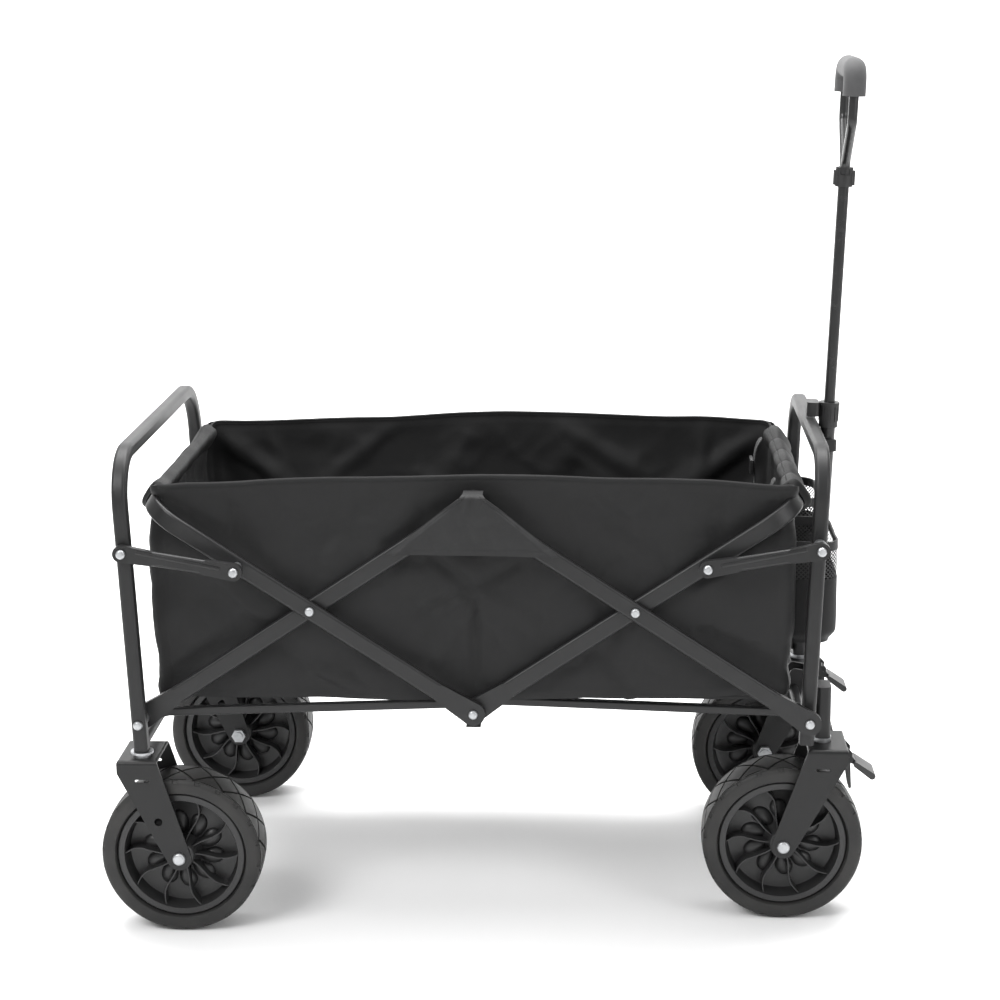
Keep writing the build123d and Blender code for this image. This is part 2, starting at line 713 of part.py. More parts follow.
with BuildPart() as handle_inner_tube:
    with BuildSketch(on_pole(lock_low - 50.0)):
        Circle(inner_pole_radius)
        Circle(inner_pole_radius - 1.2, mode=Mode.SUBTRACT)
    extrude(amount=collar_low + 4.0 - (lock_low - 50.0))
export(handle_inner_tube, "handle_inner_tube")

with BuildPart() as handle_collar:
    with BuildSketch(on_pole(collar_low)):
        Circle(11.0)
    extrude(amount=collar_high - collar_low)
    with BuildSketch(on_pole(collar_low + 2.0)):
        RectangleRounded(27.0, 14.0, 5.0)
    extrude(amount=collar_high - collar_low - 6.0)
    with BuildSketch(on_pole(collar_low)):
        Circle(inner_pole_radius + running_fit)
    extrude(amount=5.0, mode=Mode.SUBTRACT)
    for side in sides:
        with BuildSketch(on_pole(collar_high - 9.0)):
            with Locations((0, side * 6.5)):
                Circle(6.4)
        extrude(amount=9.0, mode=Mode.SUBTRACT)
export(handle_collar, "handle_collar")

loop_radius = 6.0
pole_plane = Plane(origin=(handle_pivot[0], 0, handle_pivot[1]), x_dir=(0, 1, 0),
                   z_dir=Vector(0, 1, 0).cross(Vector(cos(handle_slope), 0, sin(handle_slope))))
with BuildPart() as handle_loop:
    with BuildLine(pole_plane) as loop_path:
        FilletPolyline((6.5, collar_high - 8.5), (6.5, collar_high + 6.0), (grip_half, 722.0),
                       (grip_half, grip_centre), (-grip_half, grip_centre), (-grip_half, 722.0),
                       (-6.5, collar_high + 6.0), (-6.5, collar_high - 8.5), radius=18.0)
    with BuildSketch(Plane(origin=loop_path.line @ 0, x_dir=(1, 0, 0), z_dir=loop_path.line % 0)):
        Circle(loop_radius)
    sweep(path=loop_path.line)
export(handle_loop, "handle_loop")

with BuildPart() as handle_grip:
    with BuildLine(pole_plane) as grip_path:
        FilletPolyline((grip_half, grip_centre - 32.0), (grip_half, grip_centre), (-grip_half, grip_centre),
                       (-grip_half, grip_centre - 32.0), radius=18.0)
    with BuildSketch(Plane(origin=grip_path.line @ 0, x_dir=(1, 0, 0), z_dir=grip_path.line % 0)):
        Circle(14.0)
        Circle(loop_radius + running_fit, mode=Mode.SUBTRACT)
    sweep(path=grip_path.line)
export(handle_grip, "handle_grip")

# Clip on the front crossbar that holds the pole upright
crossbar_x = front_low[0] + (front_crossbar_height - pivot_height) * sin(lean) / cos(lean)
clip_face = crossbar_x + half_tube + 0.2
clip_low = 560.0
pole_at_clip = handle_pivot[0] + (clip_low + 7.5 - handle_pivot[1]) * cos(handle_slope) / sin(handle_slope)
with BuildPart() as handle_clip:
    with BuildSketch(Plane.XY.offset(clip_low)):
        with Locations(((clip_face + pole_at_clip + 11.0) / 2, 0)):
            RectangleRounded(pole_at_clip + 11.0 - clip_face, 32.0, 3.0)
    extrude(amount=15.0)
    with BuildSketch(Plane.XY.offset(clip_low)):
        with Locations((clip_face + 2.0, 0)):
            Rectangle(4.0, 40.0)
    extrude(amount=28.0)
    with BuildSketch(Plane.XY.offset(clip_low - 1.0)):
        with Locations((pole_at_clip, 0)):
            Circle(pole_radius + 0.8)
        with Locations((pole_at_clip + 20.0, 0)):
            Rectangle(40.0, 2 * pole_radius + 1.6)
    extrude(amount=40.0, mode=Mode.SUBTRACT)
export(handle_clip, "handle_clip")

# Fabric body: two sides, two ends and a padded floor, each a plain solid clear of the frame
cloth = 4.0
side_y = 211.5
cloth_x = 390.0
floor_low = 291.0
floor_high = 297.0
wall_low = floor_high + 0.5
for side in sides:
    with BuildPart() as fabric_side:
        with BuildSketch(Plane(origin=(centre_x, side * side_y + cloth / 2, 0), x_dir=(1, 0, 0),
                               z_dir=(0, -1, 0))):
            with BuildLine():
                Polyline((-cloth_x, wall_low), (cloth_x, wall_low), (cloth_x, 474.0), (343.0, 562.0),
                         (0, 573.0), (-343.0, 562.0), (-cloth_x, 474.0), close=True)
            make_face()
        extrude(amount=cloth)
    export(fabric_side, f"fabric_side_{sides_named[side]}")

end_half = side_y - cloth / 2 - 0.5
for name, end in (("rear", -1), ("front", 1)):
    with BuildPart() as fabric_end:
        with BuildSketch(Plane.XY.offset(wall_low)):
            with Locations((centre_x + end * (cloth_x - 6.0), 0)):
                Rectangle(cloth, 2 * end_half)
        extrude(amount=516.0 - wall_low)
    export(fabric_end, f"fabric_{name}")

with BuildPart() as fabric_floor:
    with BuildSketch(Plane.XY.offset(floor_low)):
        with Locations((centre_x, 0)):
            Rectangle(2 * cloth_x - 17.0, 2 * end_half)
    extrude(amount=floor_high - floor_low)
export(fabric_floor, "fabric_floor")


def sleeve(angle, half_length, name):
    """A fabric sleeve around a U-bar's crosspiece."""
    point = along(middle_low, angle, cross_distance)
    with BuildPart() as tube:
        with BuildSketch(Plane(origin=(point[0], half_length, point[1]),
                               x_dir=(-sin(angle), 0, cos(angle)), z_dir=(0, -1, 0))):
            RectangleRounded(26.6, 13.0, 6.2)
            RectangleRounded(bar_width + 1.0, bar_thickness + 1.0, 4.4, mode=Mode.SUBTRACT)
        extrude(amount=2 * half_length)
    export(tube, name)


sleeve(radians(180) - slope, outer_layer - 47.0, "sleeve_rear")
sleeve(slope, inner_layer - 47.0, "sleeve_front")

# Triangular covers over the top middle joints
cover_y = outer_layer + half_bar + 6.3
with BuildPart() as joint_covers:
    for side in sides:
        with BuildSketch(Plane(origin=(centre_x, side * cover_y + 1.25, 0), x_dir=(1, 0, 0),
                               z_dir=(0, -1, 0))):
            with BuildLine():
                Polyline((-20.0, 556.0), (20.0, 556.0), (88.0, 480.0), (-88.0, 480.0), close=True)
            make_face()
        extrude(amount=2.5)
export(joint_covers, "joint_covers")

# Bottle pockets on the outside of the front end
pocket_low = 352.0
pocket_high = 484.0
with BuildPart() as bottle_pockets:
    for side in sides:
        with BuildSketch(Plane.XY.offset(pocket_low)):
            with Locations((centre_x + 417.5, side * 115.0)):
                RectangleRounded(53.0, 130.0, 24.0)
        extrude(amount=pocket_high - pocket_low)
        with BuildSketch(Plane.XY.offset(pocket_low + 3.0)):
            with Locations((centre_x + 417.5, side * 115.0)):
                RectangleRounded(47.0, 124.0, 21.0)
        extrude(amount=pocket_high - pocket_low, mode=Mode.SUBTRACT)
export(bottle_pockets, "bottle_pockets")
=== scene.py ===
"""Folding camp wagon: fabric body, treaded wheels, covers, pockets and finishes around its folding frame.

Sizes are in metres. +X is the front, with the pull handle, +Y is the left side and the floor is Z = 0.
"""
import logging
import math
from dataclasses import dataclass, field
from enum import Enum
from typing import Any, Callable, Iterable, Sequence

import bmesh
import bpy
import numpy as np
from mathutils import Matrix, Vector, noise


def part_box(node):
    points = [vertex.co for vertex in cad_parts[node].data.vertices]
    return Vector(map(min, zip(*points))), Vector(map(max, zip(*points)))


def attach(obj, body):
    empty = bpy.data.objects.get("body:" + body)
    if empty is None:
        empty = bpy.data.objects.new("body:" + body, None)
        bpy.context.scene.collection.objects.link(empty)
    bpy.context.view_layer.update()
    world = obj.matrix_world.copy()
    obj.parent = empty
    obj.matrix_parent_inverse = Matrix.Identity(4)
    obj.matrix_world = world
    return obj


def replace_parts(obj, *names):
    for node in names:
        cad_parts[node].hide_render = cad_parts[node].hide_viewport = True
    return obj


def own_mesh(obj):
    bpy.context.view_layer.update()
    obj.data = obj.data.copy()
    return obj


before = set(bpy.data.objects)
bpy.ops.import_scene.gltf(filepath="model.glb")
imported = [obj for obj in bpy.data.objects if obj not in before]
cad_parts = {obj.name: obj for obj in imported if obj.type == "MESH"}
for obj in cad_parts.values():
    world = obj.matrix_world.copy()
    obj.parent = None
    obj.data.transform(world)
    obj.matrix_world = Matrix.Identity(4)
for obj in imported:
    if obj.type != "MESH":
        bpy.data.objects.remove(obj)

log = logging.getLogger("wagon")
SMOOTH_ALL = 60.0  # degrees: cloth and other soft shapes
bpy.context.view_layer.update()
CENTRE_X = (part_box("fabric_side_left")[0].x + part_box("fabric_side_left")[1].x) / 2
SIDES = {"left": 1, "right": -1}


# ---------------------------------------------------------------- shader tools


class Number:
    """A number that changes over a surface: a socket with arithmetic."""

    def __init__(self, tree: bpy.types.NodeTree, socket: bpy.types.NodeSocket) -> None:
        """Wrap a socket of a node tree."""
        self.tree = tree
        self.socket = socket

    def maths(self, operation: str, *others: Any, clamp: bool = False) -> "Number":
        """Add one Math node.

        Args:
            operation: the Math node's operation.
            others: the further operands, numbers or wrapped sockets.
            clamp: keep the answer between 0 and 1.

        Returns:
            The wrapped answer.
        """
        node = self.tree.nodes.new("ShaderNodeMath")
        node.operation = operation
        node.use_clamp = clamp
        for place, value in enumerate((self, *others)):
            if isinstance(value, Number):
                self.tree.links.new(value.socket, node.inputs[place])
            else:
                node.inputs[place].default_value = value
        return Number(self.tree, node.outputs[0])

    def __add__(self, other: Any) -> "Number":
        """Sum."""
        return self.maths("ADD", other)

    __radd__ = __add__

    def __mul__(self, other: Any) -> "Number":
        """Product."""
        return self.maths("MULTIPLY", other)

    __rmul__ = __mul__

    def __sub__(self, other: Any) -> "Number":
        """Difference."""
        return self.maths("SUBTRACT", other)

    def __rsub__(self, other: Any) -> "Number":
        """Difference from a plain number."""
        return self * -1.0 + other

    def within(self, low: float, high: float) -> "Number":
        """0 below low, 1 above high, smooth between."""
        node = self.tree.nodes.new("ShaderNodeMapRange")
        node.interpolation_type = "SMOOTHSTEP"
        self.tree.links.new(self.socket, node.inputs["Value"])
        node.inputs["From Min"].default_value = low
        node.inputs["From Max"].default_value = high
        return Number(self.tree, node.outputs["Result"])

    def wave(self, pitch: float) -> "Number":
        """A sine of a length, from -1 to 1, once every pitch."""
        return (self * (math.tau / pitch)).maths("SINE")


class Recipe:
    """The nodes of one material, with a Principled shader at their end."""

    def __init__(self, name: str, **constants: Any) -> None:
        """Start a material.

        Args:
            name: the material's name.
            constants: values for the shader's own sockets, with _ for a space in their names.
        """
        self.material = bpy.data.materials.new(name)
        self.material.use_nodes = True
        self.tree = self.material.node_tree
        self.shader = self.tree.nodes["Principled BSDF"]
        for socket, value in constants.items():
            self.shader.inputs[socket.replace("_", " ")].default_value = value

    def node(self, kind: str, settings: dict | None = None, **sockets: Any) -> bpy.types.Node:
        """Add a node.

        Args:
            kind: the node's type.
            settings: attributes that are set first.
            sockets: values or links of its inputs, with _ for a space in their names.

        Returns:
            The node.
        """
        node = self.tree.nodes.new(kind)
        for setting, value in (settings or {}).items():
            setattr(node, setting, value)
        for name, value in sockets.items():
            socket = node.inputs[name.replace("_", " ")]
            if isinstance(value, Number):
                value = value.socket
            if isinstance(value, bpy.types.NodeSocket):
                self.tree.links.new(value, socket)
            else:
                socket.default_value = value
        return node

    def place(self, surface: bool = False) -> bpy.types.NodeSocket:
        """The point's place on the object, or on its UV map in metres."""
        return self.node("ShaderNodeTexCoord").outputs["UV" if surface else "Object"]

    def axes(self, surface: bool = False) -> tuple[Number, Number, Number]:
        """The point's place as three numbers."""
        node = self.node("ShaderNodeSeparateXYZ", Vector=self.place(surface))
        return tuple(Number(self.tree, node.outputs[n]) for n in range(3))

    def cloud(self, scale: float, detail: float = 3.0, surface: bool = False, **extra: Any) -> Number:
        """Soft noise from 0 to 1.

        Args:
            scale: features in a metre.
            detail: octaves.
            surface: read the UV map and not the place.
            extra: more inputs of the node.

        Returns:
            The noise.
        """
        place = self.place(surface)
        node = self.node("ShaderNodeTexNoise", Vector=place, Scale=scale, Detail=detail, **extra)
        return Number(self.tree, node.outputs["Fac"])

    def tint(self, share: Number, dark: Sequence[float], light: Sequence[float]) -> bpy.types.NodeSocket:
        """A colour between two."""
        node = self.node("ShaderNodeMix", {"data_type": "RGBA"})
        node.inputs[0].default_value = 0.0
        self.tree.links.new(share.socket, node.inputs[0])
        node.inputs[6].default_value = (*dark, 1.0)
        node.inputs[7].default_value = (*light, 1.0)
        return node.outputs[2]

    def bump(self, height: Number, distance: float, strength: float = 1.0, under: Any = None) -> Any:
        """Relief of a surface.

        Args:
            height: 0 to 1.
            distance: how deep it is, in metres.
            strength: the share of it that shows.
            under: a bump that it lies on.

        Returns:
            The normal.
        """
        node = self.node("ShaderNodeBump", Height=height, Distance=distance, Strength=strength)
        if under is not None:
            self.tree.links.new(under, node.inputs["Normal"])
        return node.outputs["Normal"]

    def done(self, **sockets: Any) -> bpy.types.Material:
        """Link what varies to the shader and return the material."""
        for name, value in sockets.items():
            value = value.socket if isinstance(value, Number) else value
            self.tree.links.new(value, self.shader.inputs[name.replace("_", " ")])
        return self.material


@dataclass(frozen=True)
class PowderCoat:
    """Satin powder coat, with fine orange peel and rubbed spots.

    Attributes:
        name: the finish's name.
        shade: its linear grey.
        rough: its roughness.
        coat: its clear top layer.
    """

    name: str
    shade: float
    rough: float
    coat: float = 0.25

    def mix(self) -> bpy.types.Material:
        """The material."""
        recipe = Recipe(self.name, Coat_Weight=self.coat, Coat_Roughness=0.3, Specular_IOR_Level=0.36)
        peel = recipe.cloud(900.0, 2.0)
        dust = recipe.cloud(26.0, 5.0)
        grain = recipe.cloud(4200.0, 1.0)
        base = (self.shade, self.shade, self.shade * 1.03)
        lighter = tuple(value * 1.35 for value in base)
        return recipe.done(
            Base_Color=recipe.tint(dust.within(0.35, 0.8), base, lighter),
            Roughness=dust * 0.16 + (self.rough - 0.08) + grain * 0.03,
            Normal=recipe.bump(grain, 0.00003, 0.4, recipe.bump(peel, 0.00012, 0.35)),
        )


@dataclass(frozen=True)
class ZincPlate:
    """Bright zinc plating with a brushed, cloudy look."""

    name: str = "zinc"

    def mix(self) -> bpy.types.Material:
        """The material."""
        recipe = Recipe(self.name, Metallic=1.0)
        haze = recipe.cloud(160.0, 4.0)
        scratch = recipe.cloud(1500.0, 2.0)
        return recipe.done(
            Base_Color=recipe.tint(haze, (0.30, 0.31, 0.32), (0.62, 0.63, 0.64)),
            Roughness=haze * 0.2 + 0.3 + scratch * 0.08,
            Normal=recipe.bump(scratch, 0.00004, 0.3),
        )


@dataclass(frozen=True)
class MouldedPlastic:
    """Injection-moulded plastic with a spark-eroded grain.

    Attributes:
        name: the finish's name.
        shade: its linear grey.
        rough: its roughness.
        grain: the relief's depth in metres.
    """

    name: str
    shade: float
    rough: float = 0.42
    grain: float = 0.00005

    def mix(self) -> bpy.types.Material:
        """The material."""
        recipe = Recipe(self.name, Specular_IOR_Level=0.5)
        erosion = recipe.cloud(2200.0, 2.0)
        flow = recipe.cloud(30.0, 4.0)
        dark = (self.shade, self.shade, self.shade * 1.02)
        return recipe.done(
            Base_Color=recipe.tint(flow, dark, tuple(value * 1.3 for value in dark)),
            Roughness=flow * 0.12 + self.rough - 0.06 + erosion * 0.06,
            Normal=recipe.bump(erosion, self.grain, 0.5),
        )


@dataclass(frozen=True)
class Rubber:
    """Tyre rubber: satin, with dust that settles in the low places of a fine pebble grain."""

    name: str = "tyre"

    def mix(self) -> bpy.types.Material:
        """The material."""
        recipe = Recipe(self.name, Specular_IOR_Level=0.42)
        pebble = recipe.cloud(1300.0, 3.0)
        bloom = recipe.cloud(18.0, 6.0)
        streak = recipe.cloud(70.0, 3.0)
        return recipe.done(
            Base_Color=recipe.tint(bloom.within(0.3, 0.75), (0.012, 0.012, 0.012), (0.026, 0.025, 0.024)),
            Roughness=bloom * 0.2 + 0.4 + streak * 0.08,
            Normal=recipe.bump(pebble, 0.00010, 0.5),
        )


@dataclass(frozen=True)
class FoamGrip:
    """Closed-cell foam of the handle cover."""

    name: str = "grip"

    def mix(self) -> bpy.types.Material:
        """The material."""
        recipe = Recipe(self.name, Specular_IOR_Level=0.3, Sheen_Weight=0.15)
        cells = recipe.cloud(1600.0, 2.0)
        soft = recipe.cloud(60.0, 4.0)
        return recipe.done(
            Base_Color=recipe.tint(soft * 0.6 + cells * 0.4, (0.035, 0.035, 0.036), (0.10, 0.10, 0.102)),
            Roughness=cells * 0.15 + 0.62,
            Normal=recipe.bump(cells, 0.00025, 0.6),
        )


@dataclass(frozen=True)
class Oxford:
    """Coated oxford cloth with a plain weave, faint slubs, rubbed folds and a dull sheen.

    Attributes:
        name: the finish's name.
        shade: its linear grey.
        pitch: the weave's repeat in metres.
        surface: the weave follows the UV map, which is in metres.
    """

    name: str
    shade: float = 0.012
    pitch: float = 0.0011
    surface: bool = True

    def mix(self) -> bpy.types.Material:
        """The material."""
        recipe = Recipe(self.name, Specular_IOR_Level=0.2, Sheen_Weight=0.02, Sheen_Roughness=0.5)
        along, across, _ = recipe.axes(self.surface)
        warp, weft = along.wave(self.pitch), across.wave(self.pitch)
        weave = (warp * weft) * 0.5 + 0.5
        slub = recipe.cloud(500.0, 2.0, self.surface)
        soft = recipe.cloud(9.0, 6.0)
        rub = recipe.cloud(45.0, 4.0, False, Distortion=0.6)
        dark = (self.shade, self.shade, self.shade * 1.02)
        light = tuple(value * 1.7 for value in dark)
        creases = recipe.bump(rub, 0.0012, 0.35)
        return recipe.done(
            Base_Color=recipe.tint(soft * 0.45 + rub * 0.25 + weave * 0.2 + slub * 0.1, dark, light),
            Roughness=soft * 0.14 + 0.5 + weave * 0.06,
            Normal=recipe.bump(weave * 0.7 + slub * 0.3, 0.00016, 0.6, creases),
        )


@dataclass(frozen=True)
class Webbing:
    """Woven strap: fine ribs along it and a rolled edge."""

    name: str = "webbing"

    def mix(self) -> bpy.types.Material:
        """The material."""
        recipe = Recipe(self.name, Specular_IOR_Level=0.35, Sheen_Weight=0.1)
        x, y, z = recipe.axes()
        ribs = (x + z).wave(0.0026) * (y + z).wave(0.0016) * 0.5 + 0.5
        fuzz = recipe.cloud(260.0, 3.0)
        return recipe.done(
            Base_Color=recipe.tint(ribs * 0.6 + fuzz * 0.4, (0.010, 0.010, 0.010), (0.030, 0.030, 0.031)),
            Roughness=fuzz * 0.15 + 0.55,
            Normal=recipe.bump(ribs, 0.00025, 0.7),
        )


@dataclass(frozen=True)
class Netting:
    """Open diamond netting: threads with holes between them.

    Attributes:
        name: the finish's name.
        pitch: the diamonds' repeat in metres.
        thread: the share of the repeat that is thread.
    """

    name: str = "mesh_cloth"
    pitch: float = 0.0052
    thread: float = 0.36

    def mix(self) -> bpy.types.Material:
        """The material."""
        recipe = Recipe(self.name, Specular_IOR_Level=0.35)
        along, across, _ = recipe.axes(True)
        one = ((along + across) * (1 / self.pitch)).maths("FRACT").maths("SUBTRACT", 0.5).maths("ABSOLUTE")
        two = ((along - across) * (1 / self.pitch)).maths("FRACT").maths("SUBTRACT", 0.5).maths("ABSOLUTE")
        hole = one.maths("MINIMUM", two)
        net = hole.maths("LESS_THAN", self.thread / 2)
        fuzz = recipe.cloud(900.0, 2.0)
        return recipe.done(
            Base_Color=recipe.tint(fuzz, (0.02, 0.02, 0.02), (0.05, 0.05, 0.05)),
            Roughness=fuzz * 0.2 + 0.5,
            Alpha=net,
            Normal=recipe.bump(fuzz, 0.0002, 0.5),
        )


class Stock:
    """The finished materials, one for each of the record's slots and a few for new pieces."""

    def __init__(self) -> None:
        """Mix every finish."""
        finishes = {
            "frame_paint": PowderCoat("frame_paint", 0.012, 0.44, 0.06),
            "bar_paint": PowderCoat("bar_paint", 0.012, 0.40, 0.1),
            "fork_paint": PowderCoat("fork_paint", 0.008, 0.44, 0.06),
            "pole_paint": PowderCoat("pole_paint", 0.011, 0.24, 0.5),
            "zinc": ZincPlate(),
            "black_plastic": MouldedPlastic("black_plastic", 0.014),
            "brake_plastic": MouldedPlastic("brake_plastic", 0.012, 0.36),
            "rim": MouldedPlastic("rim", 0.017, 0.36),
            "tyre": Rubber(),
            "grip": FoamGrip(),
            "cloth": Oxford("cloth"),
            "cover_cloth": Oxford("cover_cloth", 0.019),
            # a darker copy of the tub's cloth for the sleeves: painted shade that holds down the top light on
            # them
            "sleeve_cloth": Oxford("sleeve_cloth", 0.006),
            "lining": Oxford("lining", 0.011, surface=False),
            "mesh_cloth": Netting(),
            "webbing": Webbing(),
        }
        self.materials = {name: finish.mix() for name, finish in finishes.items()}

    def paint_nodes(self) -> None:
        """Give every CAD node the finish of its slot."""
        for name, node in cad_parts.items():
            for slot in node.material_slots:
                slot.material = self.materials[slot.material.name.split(".")[0]]
            log.info("finished %s", name)

    def dress(self, piece: bpy.types.Object, slot: str, finish: str | None = None) -> bpy.types.Object:
        """Give a new piece its finish, which is its slot's own unless another is named.

        Args:
            piece: the piece.
            slot: the record's slot that it belongs to.
            finish: the finish, if it isn't the slot's own.

        Returns:
            The piece.
        """
        piece.data.materials.clear()
        piece.data.materials.append(self.materials[finish or slot])
        return piece


# ---------------------------------------------------------------- modelling tools


class Kind(Enum):
    """What a selection is made of."""

    CORNER = "VERT"
    EDGE = "EDGE"
    FACE = "FACE"


def nothing_selected() -> None:
    """Leave edit mode and deselect everything."""
    if bpy.context.object and bpy.context.object.mode != "OBJECT":
        bpy.ops.object.mode_set(mode="OBJECT")
    bpy.ops.object.select_all(action="DESELECT")


class Bench:
    """A piece that is being modelled, in edit mode at the origin."""

    def __init__(self, name: str) -> None:
        """Name the piece."""
        self.name = name
        self.piece: bpy.types.Object | None = None

    def start(self, primitive: Callable, **settings: Any) -> "Bench":
        """Add a primitive at its size and place, and go into edit mode with nothing selected."""
        nothing_selected()
        size = settings.pop("scale", (1.0, 1.0, 1.0))
        primitive(**settings)
        self.piece = bpy.context.object
        self.piece.scale = size
        self.piece.name = self.piece.data.name = self.name
        bpy.ops.object.transform_apply(location=True, rotation=True, scale=True)
        bpy.ops.object.mode_set(mode="EDIT")
        bpy.ops.mesh.select_mode(type="VERT")
        bpy.ops.mesh.select_all(action="DESELECT")
        return self

    def block(self, low: Sequence[float], high: Sequence[float]) -> "Bench":
        """Start from a box between two corners."""
        size = Vector(high) - Vector(low)
        middle = (Vector(low) + Vector(high)) / 2
        return self.start(bpy.ops.mesh.primitive_cube_add, size=1.0, location=middle, scale=size)

    def cloth(self, columns: int, rows: int, flat: tuple[float, float], x: float = 0.5) -> "Bench":
        """Start from a unit grid of cloth whose UV map is in metres.

        Args:
            columns: faces across.
            rows: faces up.
            flat: the cloth's size when it lies flat.
            x: the grid's middle; its rows run from 0 to 1.

        Returns:
            The bench, in object mode.
        """
        self.start(bpy.ops.mesh.primitive_grid_add, x_subdivisions=columns, y_subdivisions=rows, size=1.0,
                   location=(x, 0.5, 0))
        nothing_selected()
        for loop in self.piece.data.uv_layers.active.data:
            loop.uv = (loop.uv[0] * flat[0], loop.uv[1] * flat[1])
        return self

    def draw(self, points: Sequence[Sequence[float]]) -> "Bench":
        """Start from a run of edges, extruded from point to point."""
        first, *others = [Vector(point) for point in points]
        self.start(bpy.ops.mesh.primitive_plane_add, size=0.001, location=first)
        bpy.ops.mesh.select_all(action="SELECT")
        bpy.ops.mesh.merge(type="CENTER")
        for after in others:
            bpy.ops.mesh.extrude_region_move(TRANSFORM_OT_translate={"value": after - first})
            first = after
        return self

    def pick(self, test: Callable[[Any], bool], kind: Kind = Kind.FACE) -> "Bench":
        """Select the elements that pass a test."""
        bpy.ops.mesh.select_mode(type=kind.value)
        bpy.ops.mesh.select_all(action="DESELECT")
        shape = bmesh.from_edit_mesh(self.piece.data)
        for element in {Kind.CORNER: shape.verts, Kind.EDGE: shape.edges, Kind.FACE: shape.faces}[kind]:
            if test(element):
                element.select_set(True)
        shape.select_flush_mode()
        bmesh.update_edit_mesh(self.piece.data)
        return self

    def all(self) -> "Bench":
        """Select everything."""
        bpy.ops.mesh.select_all(action="SELECT")
        return self

    def spin(self, centre: Vector, axis: Vector, steps: int) -> "Bench":
        """Turn the selection once round an axis and close the seam."""
        bpy.ops.mesh.spin(steps=steps, angle=math.tau, center=centre, axis=axis)
        self.all()
        bpy.ops.mesh.remove_doubles(threshold=0.00002)
        bpy.ops.mesh.normals_make_consistent(inside=False)
        return self

    def shape(self, move: Callable[[Vector], Vector]) -> "Bench":
        """Move every point of the mesh, in object mode."""
        nothing_selected()
        mesh = self.piece.data
        flat = np.empty(len(mesh.vertices) * 3)
        mesh.vertices.foreach_get("co", flat)
        moved = [component for point in flat.reshape(-1, 3) for component in move(Vector(point))]
        mesh.vertices.foreach_set("co", moved)
        mesh.update()
        return self

    def fit(self, kind: str, **settings: Any) -> "Bench":
        """Add a modifier and apply it."""
        nothing_selected()
        self.piece.select_set(True)
        bpy.context.view_layer.objects.active = self.piece
        modifier = self.piece.modifiers.new(kind.title(), kind)
        for setting, value in settings.items():
            setattr(modifier, setting, value)
        bpy.ops.object.modifier_apply(modifier=modifier.name)
        return self

    def thicken(self, thickness: float) -> "Bench":
        """Give a single skin its thickness, half to each side."""
        return self.fit("SOLIDIFY", thickness=thickness, offset=0.0)

    def rounded(self, width: float, segments: int, sharp: float) -> "Bench":
        """Round the edges that turn by more than an angle in degrees."""
        return self.fit("BEVEL", width=width, segments=segments, limit_method="ANGLE",
                        angle_limit=math.radians(sharp))

    def done(self, crease: float = 35.0, tidy: bool = True) -> bpy.types.Object:
        """Close, face outwards and smooth the piece.

        Args:
            crease: the angle in degrees above which an edge stays sharp.
            tidy: merge doubles and turn the faces outwards.

        Returns:
            The piece's object.
        """
        nothing_selected()
        self.piece.select_set(True)
        bpy.context.view_layer.objects.active = self.piece
        if tidy:
            bpy.ops.object.mode_set(mode="EDIT")
            self.all()
            bpy.ops.mesh.remove_doubles(threshold=0.00001)
            bpy.ops.mesh.normals_make_consistent(inside=False)
            bpy.ops.object.mode_set(mode="OBJECT")
        bpy.ops.object.shade_smooth_by_angle(angle=math.radians(crease))
        log.info("modelled %s: %d faces", self.name, len(self.piece.data.polygons))
        return self.piece


def copied(piece: bpy.types.Object, name: str, move: Matrix) -> bpy.types.Object:
    """A copy with its own mesh, moved in the mesh."""
    twin = piece.copy()
    twin.data = piece.data.copy()
    twin.name = twin.data.name = name
    bpy.context.scene.collection.objects.link(twin)
    twin.data.transform(move)
    if move.determinant() < 0:
        twin.data.flip_normals()
    return twin


def joined(pieces: Sequence[bpy.types.Object], name: str) -> bpy.types.Object:
    """Several pieces made one."""
    nothing_selected()
    for piece in pieces:
        piece.select_set(True)
    bpy.context.view_layer.objects.active = pieces[0]
    bpy.ops.object.join()
    pieces[0].name = pieces[0].data.name = name
    return pieces[0]


MIRROR_Y = Matrix.Diagonal((1.0, -1.0, 1.0, 1.0))


def clip(value: float) -> float:
    """The value held between nought and one."""
    return min(max(value, 0.0), 1.0)


def smooth(low: float, high: float, value: float) -> float:
    """0 below low, 1 above high, smooth between."""
    share = min(max((value - low) / (high - low), 0.0), 1.0)
    return share * share * (3 - 2 * share)


def along_points(points: Sequence[tuple[float, float]], place: float) -> float:
    """A smooth height read from a short list of (place, height)."""
    if place <= points[0][0]:
        return points[0][1]
    for (x0, z0), (x1, z1) in zip(points, points[1:]):
        if place <= x1:
            return z0 + (z1 - z0) * smooth(x0, x1, place)
    return points[-1][1]


def fold_line(x: float, z: float, start: Sequence[float], end: Sequence[float], width: float) -> float:
    """How much a point lies on a fold between two points: 1 on its line, 0 away from it."""
    ax, az = end[0] - start[0], end[1] - start[1]
    length = math.hypot(ax, az)
    share = ((x - start[0]) * ax + (z - start[1]) * az) / (length * length)
    across = ((x - start[0]) * az - (z - start[1]) * ax) / length
    taper = smooth(-0.08, 0.15, share) * smooth(1.1, 0.6, share) if -0.1 < share < 1.12 else 0.0
    return taper * math.exp(-((across / width) ** 2))


def crumple(point: Vector, sizes: Iterable[tuple[float, float]]) -> float:
    """Creases left by folding: sharp where slow noise crosses zero.

    Args:
        point: the place.
        sizes: (size of the fields, depth of the creases) in metres.

    Returns:
        The height.
    """
    return sum(depth * (2.2 * abs(noise.noise(point / size)) - 0.45) for size, depth in sizes)


# ---------------------------------------------------------------- wheels


